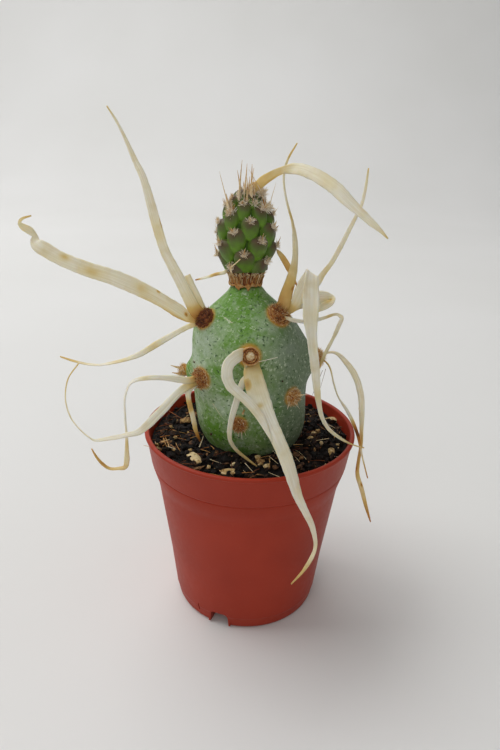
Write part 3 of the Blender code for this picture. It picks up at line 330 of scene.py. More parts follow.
@dataclass(frozen=True)
class Finish:
    """A material to be made: its name and the plain numbers of its shader."""

    name: str
    roughness: float = 0.6
    ior: float = 1.5
    # Share of the gloss that the IOR would give: dull and dirty surfaces keep less.
    specular: float = 0.5
    subsurface: float = 0.0
    # How far light travels inside, in mm, at the mean of the three colours.
    depth: float = 0.5
    sheen: float = 0.0

    def start(self) -> tuple[bpy.types.Material, bpy.types.NodeTree, bpy.types.Node]:
        """Make the material and set the numbers that are the same all over it.

        Returns:
            The material, its node tree and its Principled shader.
        """
        material = bpy.data.materials.new(self.name)
        material.use_nodes = True
        tree = material.node_tree
        shader = tree.nodes["Principled BSDF"]
        shader.inputs["Roughness"].default_value = self.roughness
        shader.inputs["IOR"].default_value = self.ior
        shader.inputs["Specular IOR Level"].default_value = self.specular
        shader.inputs["Subsurface Weight"].default_value = self.subsurface
        shader.inputs["Subsurface Scale"].default_value = self.depth * MM
        shader.inputs["Subsurface Radius"].default_value = (1.0, 0.75, 0.45)
        shader.inputs["Sheen Weight"].default_value = self.sheen
        return material, tree, shader

    def bump(
        self,
        tree: bpy.types.NodeTree,
        shader: bpy.types.Node,
        height: bpy.types.NodeSocket,
        depth: float,
        strength: float = 1.0,
    ) -> None:
        """Link a height pattern to the shader as a bump of a depth in mm."""
        node = add(tree, "Bump", {"Height": height, "Distance": depth * MM, "Strength": strength})
        tree.links.new(node.outputs["Normal"], shader.inputs["Normal"])


@dataclass(frozen=True)
class MouldedPolypropylene(Finish):
    """Injection-moulded polypropylene: an even, satin red-brown, with faint rub marks and dust."""

    colour: str = "#A63722"
    deep: str = "#9D321E"
    dust: str = "#BC6A52"
    # The melt cooled in soft clouds, and rub marks and dust are about this wide, in mm.
    mottle: float = 16.0
    rub: float = 1.3
    grain: float = 0.4

    def make(self) -> bpy.types.Material:
        """Return the material."""
        material, tree, shader = self.start()
        place = add(tree, "TexCoord").outputs["Object"]
        cloudy = add(tree, "TexNoise", {"Vector": place, "Scale": waves(self.mottle), "Detail": 2.0})
        tone = add(
            tree, "ValToRGB", {"Fac": cloudy.outputs[0]}, stops=[(0.35, self.deep), (0.65, self.colour)]
        )
        rubbed = add(tree, "TexNoise", {"Vector": place, "Scale": waves(self.rub), "Detail": 5.0})
        dusty = add(
            tree, "MapRange",
            {"Value": rubbed.outputs[0], "From Min": 0.6, "From Max": 0.8, "To Max": 0.12},
        )
        mixed = add(
            tree, "Mix",
            {MIX_SHARE: dusty.outputs[0], MIX_FIRST: tone.outputs[0], MIX_SECOND: linear(self.dust)},
            data_type="RGBA",
        )
        tree.links.new(mixed.outputs[MIX_COLOUR], shader.inputs["Base Color"])
        gloss = add(
            tree, "MapRange",
            {"Value": rubbed.outputs[0], "From Min": 0.3, "From Max": 0.8,
             "To Min": self.roughness - 0.04, "To Max": self.roughness + 0.08},
        )
        tree.links.new(gloss.outputs[0], shader.inputs["Roughness"])
        grain = add(tree, "TexNoise", {"Vector": place, "Scale": waves(self.grain), "Detail": 3.0})
        self.bump(tree, shader, grain.outputs[0], 0.03, 0.4)
        return material


@dataclass(frozen=True)
class DampPeat(Finish):
    """Damp peat and coir: near black, each crumb its own brown by the tone attribute."""

    stops: tuple[tuple[float, str], ...] = (
        (0.0, "#0A0605"), (0.3, "#1A100B"), (0.5, "#3A2519"), (0.7, "#7A5536"), (0.85, "#B9975F"),
        (1.0, "#E3CC9E"),
    )
    crumb: float = 0.8
    grit: float = 0.3

    def make(self) -> bpy.types.Material:
        """Return the material."""
        material, tree, shader = self.start()
        place = add(tree, "TexCoord").outputs["Object"]
        own = add(tree, "Attribute", attribute_name="tone").outputs["Fac"]
        crumbs = add(tree, "TexNoise", {"Vector": place, "Scale": waves(self.crumb), "Detail": 6.0})
        swing = add(
            tree, "MapRange",
            {"Value": crumbs.outputs[0], "From Min": 0.25, "From Max": 0.75, "To Min": -0.22, "To Max": 0.2},
        )
        total = add(tree, "Math", {0: own, 1: swing.outputs[0]}, operation="ADD", use_clamp=True)
        ramp = add(tree, "ValToRGB", {"Fac": total.outputs[0]}, stops=self.stops)
        tree.links.new(ramp.outputs[0], shader.inputs["Base Color"])
        grit = add(tree, "TexNoise", {"Vector": place, "Scale": waves(self.grit), "Detail": 4.0})
        self.bump(tree, shader, grit.outputs[0], 0.25)
        return material


@dataclass(frozen=True)
class WaxySkin(Finish):
    """The old joint's skin: green under a pale waxy bloom, speckled white and dark green, with shade painted on its
    +X side.
    """

    middle: str = "#7D9A5C"
    leaf: str = "#5F8F2C"
    bloom: str = "#AFC0A6"
    # The painted shade's grey-green, mixed into the +X side.
    shade: str = "#647260"
    fleck: str = "#D6E0C6"
    pit: str = "#33502A"
    cork: str = "#C8932F"
    patch: float = 2.4
    # Wax grains and stomata are far finer, and are drawn this coarse, in mm, so that they show.
    fleck_size: float = 0.8
    pit_size: float = 0.72

    def make(self) -> bpy.types.Material:
        """Return the material."""
        material, tree, shader = self.start()
        place = add(tree, "TexCoord").outputs["Object"]
        axes = add(tree, "SeparateXYZ", {"Vector": place})
        torn = add(
            tree, "TexNoise", {"Vector": place, "Scale": waves(self.patch), "Detail": 5.0, "Roughness": 0.7}
        )
        swing = add(
            tree, "MapRange",
            {"Value": torn.outputs[0], "From Min": 0.3, "From Max": 0.7, "To Min": -0.42, "To Max": 0.42},
        )
        own_leaf = add(tree, "Attribute", attribute_name="leaf").outputs["Fac"]
        own_bloom = add(tree, "Attribute", attribute_name="bloom").outputs["Fac"]
        fresh = add(tree, "Math", {0: own_leaf, 1: swing.outputs[0]}, operation="SUBTRACT", use_clamp=True)
        waxy = add(tree, "Math", {0: own_bloom, 1: swing.outputs[0]}, operation="ADD", use_clamp=True)
        green = add(
            tree, "Mix",
            {MIX_SHARE: fresh.outputs[0], MIX_FIRST: linear(self.middle), MIX_SECOND: linear(self.leaf)},
            data_type="RGBA",
        )
        bloomed = add(
            tree, "Mix",
            {MIX_SHARE: waxy.outputs[0], MIX_FIRST: green.outputs[MIX_COLOUR],
             MIX_SECOND: linear(self.bloom)},
            data_type="RGBA",
        )
        # Painted shade: the +X side, which faces away from the lamps, is mixed toward the grey shade colour.
        away = add(
            tree, "MapRange",
            {"Value": axes.outputs["X"], "From Min": 0.002, "From Max": 0.0085, "To Max": 0.72},
        )
        painted_shade = add(
            tree, "Mix",
            {MIX_SHARE: away.outputs[0], MIX_FIRST: bloomed.outputs[MIX_COLOUR],
             MIX_SECOND: linear(self.shade)},
            data_type="RGBA",
        )
        grains = add(
            tree, "TexNoise",
            {"Vector": place, "Scale": waves(self.fleck_size), "Detail": 3.0, "Roughness": 0.7},
        )
        flecked = add(
            tree, "MapRange",
            {"Value": grains.outputs[0], "From Min": 0.56, "From Max": 0.68, "To Max": 0.62},
        )
        spotted = add(
            tree, "Mix",
            {MIX_SHARE: flecked.outputs[0], MIX_FIRST: painted_shade.outputs[MIX_COLOUR],
             MIX_SECOND: linear(self.fleck)},
            data_type="RGBA",
        )
        pits = add(
            tree, "TexNoise",
            {"Vector": place, "W": 7.0, "Scale": waves(self.pit_size), "Detail": 2.0},
            noise_dimensions="4D",
        )
        pitted = add(
            tree, "MapRange",
            {"Value": pits.outputs[0], "From Min": 0.59, "From Max": 0.68, "To Max": 0.85},
        )
        dark = add(
            tree, "Mix",
            {MIX_SHARE: pitted.outputs[0], MIX_FIRST: spotted.outputs[MIX_COLOUR],
             MIX_SECOND: linear(self.pit)},
            data_type="RGBA",
        )
        ring = add(tree, "Attribute", attribute_name="cork").outputs["Fac"]
        corked = add(
            tree, "Mix",
            {MIX_SHARE: ring, MIX_FIRST: dark.outputs[MIX_COLOUR], MIX_SECOND: linear(self.cork)},
            data_type="RGBA",
        )
        tree.links.new(corked.outputs[MIX_COLOUR], shader.inputs["Base Color"])
        self.bump(tree, shader, grains.outputs[0], 0.07, 0.7)
        return material


@dataclass(frozen=True)
class YoungSkin(Finish):
    """The new joint's skin: fresh green low on each tubercle, olive above, purple-brown at its tip."""

    stops: tuple[tuple[float, str], ...] = (
        (0.0, "#3F5C14"), (0.18, "#6B9428"), (0.4, "#5F7F2A"), (0.62, "#586530"), (0.82, "#5C4B33"),
        (1.0, "#54382A"),
    )
    mottle: float = 1.6
    grain: float = 0.3

    def make(self) -> bpy.types.Material:
        """Return the material."""
        material, tree, shader = self.start()
        place = add(tree, "TexCoord").outputs["Object"]
        climb = add(tree, "Attribute", attribute_name="climb").outputs["Fac"]
        cloudy = add(tree, "TexNoise", {"Vector": place, "Scale": waves(self.mottle), "Detail": 3.0})
        swing = add(
            tree, "MapRange",
            {"Value": cloudy.outputs[0], "From Min": 0.3, "From Max": 0.7, "To Min": -0.1, "To Max": 0.1},
        )
        total = add(tree, "Math", {0: climb, 1: swing.outputs[0]}, operation="ADD", use_clamp=True)
        ramp = add(tree, "ValToRGB", {"Fac": total.outputs[0]}, stops=self.stops)
        tree.links.new(ramp.outputs[0], shader.inputs["Base Color"])
        grain = add(tree, "TexNoise", {"Vector": place, "Scale": waves(self.grain), "Detail": 3.0})
        self.bump(tree, shader, grain.outputs[0], 0.05, 0.7)
        return material


@dataclass(frozen=True)
class DryFibre(Finish):
    """Wool, bristles, needles and fibres: each strand's tone picks its colour on a ramp."""

    stops: tuple[tuple[float, str], ...] = (
        (0.0, "#2E160C"), (0.2, "#63301A"), (0.4, "#97592B"), (0.6, "#C08F50"), (0.8, "#DFC79A"),
        (1.0, "#F3EADB"),
    )
    streak: float = 0.5

    def make(self) -> bpy.types.Material:
        """Return the material."""
        material, tree, shader = self.start()
        place = add(tree, "TexCoord").outputs["Object"]
        own = add(tree, "Attribute", attribute_name="tone").outputs["Fac"]
        streaks = add(tree, "TexNoise", {"Vector": place, "Scale": waves(self.streak), "Detail": 4.0})
        swing = add(
            tree, "MapRange",
            {"Value": streaks.outputs[0], "From Min": 0.3, "From Max": 0.7, "To Min": -0.1, "To Max": 0.1},
        )
        total = add(tree, "Math", {0: own, 1: swing.outputs[0]}, operation="ADD", use_clamp=True)
        ramp = add(tree, "ValToRGB", {"Fac": total.outputs[0]}, stops=self.stops)
        tree.links.new(ramp.outputs[0], shader.inputs["Base Color"])
        self.bump(tree, shader, streaks.outputs[0], 0.08, 0.6)
        return material


@dataclass(frozen=True)
class DryPaper(Finish):
    """A dead papery blade: thin, cream, faintly fibrous and blotched, stained amber at the root."""

    cream: str = "#EEE6D6"
    pale: str = "#DDD1B8"
    beige: str = "#CBB78F"
    stops: tuple[tuple[float, str], ...] = (
        (0.0, "#E6DAB8"), (0.3, "#CDB173"), (0.6, "#A9752F"), (0.85, "#6B3B1A"), (1.0, "#38200F"),
    )
    # The fibres are far finer, and are drawn this coarse, in mm, so that they show.
    fibre: float = 0.24
    fibre_length: float = 15.0
    blotch: float = 4.5

    def make(self) -> bpy.types.Material:
        """Return the material."""
        material, tree, shader = self.start()
        sheet = add(tree, "UVMap", uv_map="blade").outputs["UV"]
        stretched = add(
            tree, "Mapping",
            {"Vector": sheet, "Scale": (waves(self.fibre), waves(self.fibre_length), 1.0)},
        )
        fibres = add(
            tree, "TexNoise", {"Vector": stretched.outputs[0], "Scale": 1.0, "Detail": 3.0, "Roughness": 0.6}
        )
        streaky = add(
            tree, "ValToRGB", {"Fac": fibres.outputs[0]}, stops=[(0.3, self.pale), (0.62, self.cream)]
        )
        spread = add(tree, "TexNoise", {"Vector": sheet, "Scale": waves(self.blotch), "Detail": 4.0})
        weathered = add(
            tree, "MapRange",
            {"Value": spread.outputs[0], "From Min": 0.5, "From Max": 0.72, "To Max": 0.55},
        )
        blotched = add(
            tree, "Mix",
            {MIX_SHARE: weathered.outputs[0], MIX_FIRST: streaky.outputs[0], MIX_SECOND: linear(self.beige)},
            data_type="RGBA",
        )
        own = add(tree, "Attribute", attribute_name="stain").outputs["Fac"]
        uneven = add(
            tree, "MapRange",
            {"Value": spread.outputs[0], "From Min": 0.3, "From Max": 0.7, "To Min": 0.75, "To Max": 1.2},
        )
        stained = add(tree, "Math", {0: own, 1: uneven.outputs[0]}, operation="MULTIPLY", use_clamp=True)
        ramp = add(tree, "ValToRGB", {"Fac": stained.outputs[0]}, stops=self.stops)
        share = add(tree, "MapRange", {"Value": stained.outputs[0], "From Min": 0.02, "From Max": 0.26})
        mixed = add(
            tree, "Mix",
            {MIX_SHARE: share.outputs[0], MIX_FIRST: blotched.outputs[MIX_COLOUR],
             MIX_SECOND: ramp.outputs[0]},
            data_type="RGBA",
        )
        tree.links.new(mixed.outputs[MIX_COLOUR], shader.inputs["Base Color"])
        self.bump(tree, shader, fibres.outputs[0], 0.06, 0.7)
        return material


@dataclass(frozen=True)
class StudioPaint(Finish):
    """Matt paint of the sweep that the pot stands on: pale, with the faintest unevenness."""

    colour: str = "#E6E5E3"
    shade: str = "#E1E0DD"

    def make(self) -> bpy.types.Material:
        """Return the material."""
        material, tree, shader = self.start()
        place = add(tree, "TexCoord").outputs["Object"]
        cloudy = add(tree, "TexNoise", {"Vector": place, "Scale": 4.0})
        ramp = add(
            tree, "ValToRGB", {"Fac": cloudy.outputs[0]}, stops=[(0.3, self.shade), (0.7, self.colour)]
        )
        tree.links.new(ramp.outputs[0], shader.inputs["Base Color"])
        return material


def polar(radius: float, azimuth: float, height: float = 0.0) -> Vector:
    """Return a point from its radius, its azimuth in degrees and its height."""
    angle = math.radians(azimuth)
    return Vector((radius * math.cos(angle), radius * math.sin(angle), height))


def azimuth_between(first: float, second: float) -> float:
    """Return the angle between two azimuths, in degrees, from 0 to 180."""
    return abs((first - second + 180.0) % 360.0 - 180.0)


def between(rows: Sequence[tuple[float, float]], place: float) -> float:
    """Return the value at a place in a table of rising places and their values."""
    for (low, first), (high, second) in zip(rows, rows[1:]):
        if low <= place <= high and high > low:
            return first + (second - first) * (place - low) / (high - low)
    return rows[0][1] if place < rows[0][0] else rows[-1][1]


def clamped(value: float) -> float:
    """Return a value held between 0 and 1."""
    return min(1.0, max(0.0, value))


def smooth_path(stations: Sequence[Sequence[float]], steps: int) -> list[Vector]:
    """Return points on a Catmull-Rom curve through stations of any dimension.

    Args:
        stations: the points that the curve goes through.
        steps: how many points are made from one station to the next.

    Returns:
        The curve's points, with both ends among them.
    """
    points = [Vector(station) for station in stations]
    ends = [2 * points[0] - points[1], *points, 2 * points[-1] - points[-2]]
    path = []
    for index in range(len(points) - 1):
        before, start, end, after = ends[index:index + 4]
        for step in range(steps):
            t = step / steps
            path.append(
                0.5 * (
                    2 * start
                    + (end - before) * t
                    + (2 * before - 5 * start + 4 * end - after) * t ** 2
                    + (3 * start - 3 * end + after - before) * t ** 3
                )
            )
    path.append(points[-1])
    return path


def evenly(path: Sequence[Vector], spacing: float, fewest: int = 8) -> list[Vector]:
    """Return a path's points again, an even distance apart along its first three axes."""
    reach = [0.0]
    for first, second in zip(path, path[1:]):
        reach.append(reach[-1] + (Vector(second[:3]) - Vector(first[:3])).length)
    count = max(fewest, round(reach[-1] / spacing))
    spaced = []
    index = 0
    for step in range(count + 1):
        goal = reach[-1] * step / count
        while index < len(path) - 2 and reach[index + 1] < goal:
            index += 1
        gap = reach[index + 1] - reach[index]
        share = clamped((goal - reach[index]) / gap) if gap > 0.0 else 0.0
        spaced.append(path[index].lerp(path[index + 1], share))
    return spaced


def put(name: str, bm: bmesh.types.BMesh, material: bpy.types.Material, sharp: float = 50.0) -> bpy.types.Object:
    """Write a bmesh in metres into a new smooth object with its one material.

    Args:
        name: the object's name.
        bm: the bmesh, which is freed.
        material: the object's material.
        sharp: the angle in degrees past which an edge stays sharp.

    Returns:
        The object, at the origin.
    """
    mesh = bpy.data.meshes.new(name)
    bm.to_mesh(mesh)
    bm.free()
    mesh.materials.append(material)
    mesh.shade_smooth()
    mesh.set_sharp_from_angle(angle=math.radians(sharp))
    obj = bpy.data.objects.new(name, mesh)
    bpy.context.scene.collection.objects.link(obj)
    return obj


def present(obj: bpy.types.Object, slot: Slot, *nodes: str) -> None:
    """Hang a finished piece on the one body, and say what it stands for.

    Args:
        obj: the piece, in place.
        slot: the record's slot that its finish comes from.
        nodes: the CAD nodes that it replaces.
    """
    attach(obj, "root")
    if nodes:
        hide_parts(*nodes)
    LOG.info("%s: %d faces, %s", obj.name, len(obj.data.polygons), slot.value)


def spun(profile: Iterable[tuple[float, float]], steps: int) -> bmesh.types.BMesh:
    """Return a closed shape of revolution about the Z axis, in mm.

    Args:
        profile: (radius, height) points from the top of the axis round to its foot,
            or round a ring and back to its start.
        steps: how many steps make the full turn.

    Returns:
        A bmesh with its faces outward.
    """
    bm = bmesh.new()
    corners = [bm.verts.new((radius, 0.0, height)) for radius, height in profile]
    edges = [bm.edges.new(pair) for pair in zip(corners, corners[1:])]
    if min(corner.co.x for corner in corners) > 0.0:
        edges.append(bm.edges.new((corners[-1], corners[0])))
    bmesh.ops.spin(
        bm, geom=corners + edges, cent=(0.0, 0.0, 0.0), axis=UP, dvec=(0.0, 0.0, 0.0),
        angle=math.tau, steps=steps, use_merge=True, use_duplicate=False,
    )
    bmesh.ops.remove_doubles(bm, verts=bm.verts, dist=1e-5)
    bmesh.ops.recalc_face_normals(bm, faces=bm.faces)
    return bm


def to_metres(bm: bmesh.types.BMesh) -> None:
    """Scale a bmesh from mm to metres."""
    bmesh.ops.scale(bm, vec=(MM, MM, MM), verts=bm.verts)


def cut_away(obj: bpy.types.Object, cutters: Iterable[bpy.types.Object], operation: str) -> None:
    """Apply a Boolean with each cutter to an object, then remove the cutters."""
    for cutter in cutters:
        modifier = obj.modifiers.new(cutter.name, "BOOLEAN")
        modifier.operation = operation
        modifier.object = cutter
        graph = bpy.context.evaluated_depsgraph_get()
        mesh = bpy.data.meshes.new_from_object(obj.evaluated_get(graph))
        obj.modifiers.clear()
        obj.data = mesh
        bpy.data.objects.remove(cutter, do_unlink=True)


@dataclass
class Strands:
    """One mesh of many thin strands, each a copy of one short tapered rod."""

    sides: int = 3
    rings: int = 3

    def __post_init__(self) -> None:
        """Make the rod that the strands are copied from: radius 1, from z 0 to z 1."""
        self.bm = bmesh.new()
        self.tone = self.bm.verts.layers.float.new("tone")
        bmesh.ops.create_cone(
            self.bm, cap_ends=True, segments=self.sides, radius1=1.0, radius2=1.0, depth=1.0,
            matrix=Matrix.Translation((0.0, 0.0, 0.5)),
        )
        for ring in range(1, self.rings):
            bmesh.ops.bisect_plane(
                self.bm, geom=self.bm.verts[:] + self.bm.edges[:] + self.bm.faces[:],
                plane_co=(0.0, 0.0, ring / self.rings), plane_no=UP,
            )
        self.rod = self.bm.verts[:] + self.bm.edges[:] + self.bm.faces[:]

    def lay(
        self,
        root: Vector,
        way: Vector,
        length: float,
        radius: float,
        tone: float,
        tip_tone: float | None = None,
        bend: Vector | None = None,
        taper: float = 0.3,
        breadth: float = 1.0,
        roll: float = 0.0,
    ) -> None:
        """Add one strand.

        Args:
            root: where it starts, in mm.
            way: the way it leaves its root.
            length: its length in mm.
            radius: its radius at the root in mm.
            tone: its place on the fibre colour ramp at the root.
            tip_tone: its place on the ramp at the tip, or the same.
            bend: how far its tip is carried aside, in mm.
            taper: the tip's radius as a share of the root's.
            breadth: how many times wider than thick it is.
            roll: how far it is turned about its own length, in radians.
        """
        copied = bmesh.ops.duplicate(self.bm, geom=self.rod)["geom"]
        turn = way.to_track_quat("Z", "Y").to_matrix() @ Matrix.Rotation(roll, 3, "Z")
        forward = way.normalized() * length
        aside = bend or Vector()
        last = tone if tip_tone is None else tip_tone
        for vertex in copied:
            if not isinstance(vertex, bmesh.types.BMVert):
                continue
            x, y, z = vertex.co
            thick = radius * (1.0 - (1.0 - taper) * z)
            spread = turn @ Vector((x * thick * breadth, y * thick, 0.0))
            vertex.co = root + forward * z + aside * z ** 2 + spread
            vertex[self.tone] = tone + (last - tone) * z

    def finish(self, name: str, material: bpy.types.Material) -> bpy.types.Object:
        """Drop the rod that was copied, and return the strands as one object."""
        spare = [item for item in self.rod if isinstance(item, bmesh.types.BMVert)]
        bmesh.ops.delete(self.bm, geom=spare, context="VERTS")
        to_metres(self.bm)
        return put(name, self.bm, material)


def lump(
    bm: bmesh.types.BMesh,
    centre: Vector,
    size: Sequence[float],
    turn: Matrix,
    draw: random.Random,
    tone: float,
    rough: float = 0.2,
    finer: int = 1,
) -> None:
    """Add one rough lump to a bmesh that has a tone layer, in mm.

    Args:
        bm: the bmesh.
        centre: the lump's centre.
        size: its three half lengths.
        turn: its 4x4 rotation.
        draw: where its roughness is drawn from.
        tone: its place on its material's ramp.
        rough: how far a corner may move, as a share of the size.
        finer: the ball's subdivisions.
    """
    layer = bm.verts.layers.float["tone"]
    made = bmesh.ops.create_icosphere(bm, subdivisions=finer, radius=1.0)
    for vertex in made["verts"]:
        vertex.co *= 1.0 + draw.uniform(-rough, rough)
        scaled = Vector(place * half for place, half in zip(vertex.co, size))
        vertex.co = centre + turn.to_3x3() @ scaled
        vertex[layer] = tone


def any_turn(draw: random.Random) -> Matrix:
    """Return a random 4x4 rotation, mostly about the upright axis."""
    upright = Matrix.Rotation(draw.uniform(0.0, math.tau), 4, "Z")
    return upright @ Matrix.Rotation(draw.uniform(-0.6, 0.6), 4, "X")


@dataclass
class NurseryPot:
    """The moulded pot: a turned wall with a bead, a band, a shoulder and three drain pockets."""

    finish: Finish
    lip_radius: float = 27.5
    height: float = 50.9
    wall: float = 0.8
    steps: int = 160
    band_foot: tuple[float, float] = (25.95, 42.4)
    shoulder: tuple[float, float] = (24.2, 37.0)
    base_radius: float = 18.5
    pocket_azimuths: tuple[float, ...] = (250.0, 10.0, 130.0)
    pocket_width: float = 4.6
    pocket_height: float = 4.3
    pocket_radii: tuple[float, float] = (13.8, 18.4)
    # The pockets' corners are moulded round, and their mouths widen toward the floor.
    pocket_round: float = 0.9
    pocket_flare: float = 1.2
    drain_radius: float = 1.3
    slit: tuple[float, float, float, float] = (231.5, 0.4, 2.4, 4.6)

    def profile(self) -> list[tuple[float, float]]:
        """Return the wall's section, from the inside floor over the lip to the underside."""
        lip, top, wall = self.lip_radius, self.height, self.wall
        band_radius, band_height = self.band_foot
        neck_radius, neck_height = self.shoulder
        base = self.base_radius
        inner = [
            (0.0, wall), (base - 1.2, wall), (base - 0.5, wall + 0.1), (base + 0.1, wall + 0.5),
            (base + 0.3, wall + 0.9), (neck_radius - wall, neck_height), (band_radius - wall, band_height),
            (lip - 0.5 - wall, top - 0.7), (lip - 0.42 - wall, top - 0.35), (lip - 0.3 - wall, top - 0.12),
            (lip - 0.1 - wall, top - 0.01),
        ]
        outer = [
            (lip - 0.55, top), (lip - 0.25, top - 0.05), (lip - 0.08, top - 0.18), (lip, top - 0.38),
            (lip, top - 0.62), (lip - 0.07, top - 0.8), (lip - 0.22, top - 0.92), (lip - 0.4, top - 1.02),
            (lip - 0.48, top - 1.2), (band_radius + 0.06, band_height + 0.5),
            (band_radius - 0.02, band_height + 0.24), (band_radius - 0.2, band_height + 0.06),
            (band_radius - 0.26, band_height - 0.1), (band_radius - 0.2, band_height - 0.26),
            (band_radius - 0.16, band_height - 0.5), (neck_radius + 0.52, neck_height + 1.3),
            (neck_radius + 0.26, neck_height + 0.5), (neck_radius + 0.08, neck_height - 0.2),
            (neck_radius - 0.06, neck_height - 1.1),
            (21.25, 15.0), (20.02, 4.0), (19.99, 3.7), (19.86, 3.5), (19.78, 3.2),
            (base + 1.0, 1.6), (base + 0.92, 1.05), (base + 0.74, 0.6), (base + 0.48, 0.26),
            (base + 0.18, 0.06), (base - 0.1, 0.0), (base - 2.2, 0.0), (base - 2.35, 0.12),
            (base - 2.65, 0.12), (base - 2.8, 0.0), (2.6, 0.0), (2.4, 0.25), (0.9, 0.25), (0.7, 0.1),
            (0.0, 0.1),
        ]
        return inner + outer

    def boxes(
        self,
        name: str,
        radii: tuple[float, float],
        width: float,
        heights: tuple[float, float],
        azimuths: Sequence[float],
        flare: float = 1.0,
    ) -> bpy.types.Object:
        """Return one helper object holding a radial box at each azimuth, in metres.

        Args:
            name: the helper's name.
            radii: where each box starts and ends along its radius, in mm.
            width: how wide it is at its top, in mm.
            heights: its foot and its top, in mm.
            azimuths: the way each box points, in degrees.
            flare: how many times wider it is at its foot; past 1 its top corners are round too.

        Returns:
            The object that a Boolean can use.
        """
        bm = bmesh.new()
        size = Matrix.Diagonal((radii[1] - radii[0], width, heights[1] - heights[0], 1.0))
        for azimuth in azimuths:
            made = bmesh.ops.create_cube(bm, size=1.0, matrix=size)["verts"]
            if flare > 1.0:
                for vertex in made:
                    if vertex.co.z < 0.0:
                        vertex.co.y *= flare
                crests = {
                    edge for vertex in made for edge in vertex.link_edges
                    if all(end.co.z > 0.0 for end in edge.verts)
                    and abs(edge.verts[0].co.x - edge.verts[1].co.x) > 1.0
                }
                rounded = bmesh.ops.bevel(
                    bm, geom=list(crests), affect="EDGES", offset=self.pocket_round, segments=4,
                    profile=0.5, material=-1,
                )["verts"]
                made = list({vertex for vertex in [*made, *rounded] if vertex.is_valid})
            centre = polar(sum(radii) / 2, azimuth, sum(heights) / 2)
            turn = Matrix.Rotation(math.radians(azimuth), 4, "Z")
            bmesh.ops.transform(bm, matrix=Matrix.Translation(centre) @ turn, verts=made)
        return self.helper(name, bm)

    def drains(self) -> bpy.types.Object:
        """Return one helper object holding a drill at each pocket's ceiling, in metres."""
        bm = bmesh.new()
        for azimuth in self.pocket_azimuths:
            centre = polar(sum(self.pocket_radii) / 2, azimuth, self.pocket_height)
            bmesh.ops.create_cone(
                bm, cap_ends=True, segments=28, radius1=self.drain_radius, radius2=self.drain_radius,
                depth=4 * self.wall, matrix=Matrix.Translation(centre),
            )
        return self.helper("drills", bm)

    def helper(self, name: str, bm: bmesh.types.BMesh) -> bpy.types.Object:
        """Return an object for a Boolean, made from a bmesh in mm, which is freed."""
        to_metres(bm)
        mesh = bpy.data.meshes.new(name)
        bm.to_mesh(mesh)
        bm.free()
        obj = bpy.data.objects.new(name, mesh)
        bpy.context.scene.collection.objects.link(obj)
        return obj

    def build(self) -> None:
        """Turn the wall, open its pockets and show it."""
        bm = spun(self.profile(), self.steps)
        to_metres(bm)
        pot = put("nursery_pot", bm, self.finish.make(), 40.0)
        inner, mouth = self.pocket_radii
        walls = self.boxes(
            "pocket_walls", (inner - self.wall, mouth + 1.0), self.pocket_width + 2 * self.wall,
            (self.wall / 2, self.pocket_height + self.wall), self.pocket_azimuths,
        )
        cut_away(pot, [walls], "UNION")
        hollows = self.boxes(
            "pocket_hollows", (inner, self.lip_radius), self.pocket_width,
            (-1.0, self.pocket_height), self.pocket_azimuths, self.pocket_flare,
        )
        azimuth, width, foot, head = self.slit
        slit = self.boxes("slit", (19.2, 21.5), width, (foot, head), [azimuth])
        cut_away(pot, [hollows, self.drains(), slit], "DIFFERENCE")
        pot.data.shade_smooth()
        pot.data.set_sharp_from_angle(angle=math.radians(40.0))
        present(pot, Slot.POT, "pot")


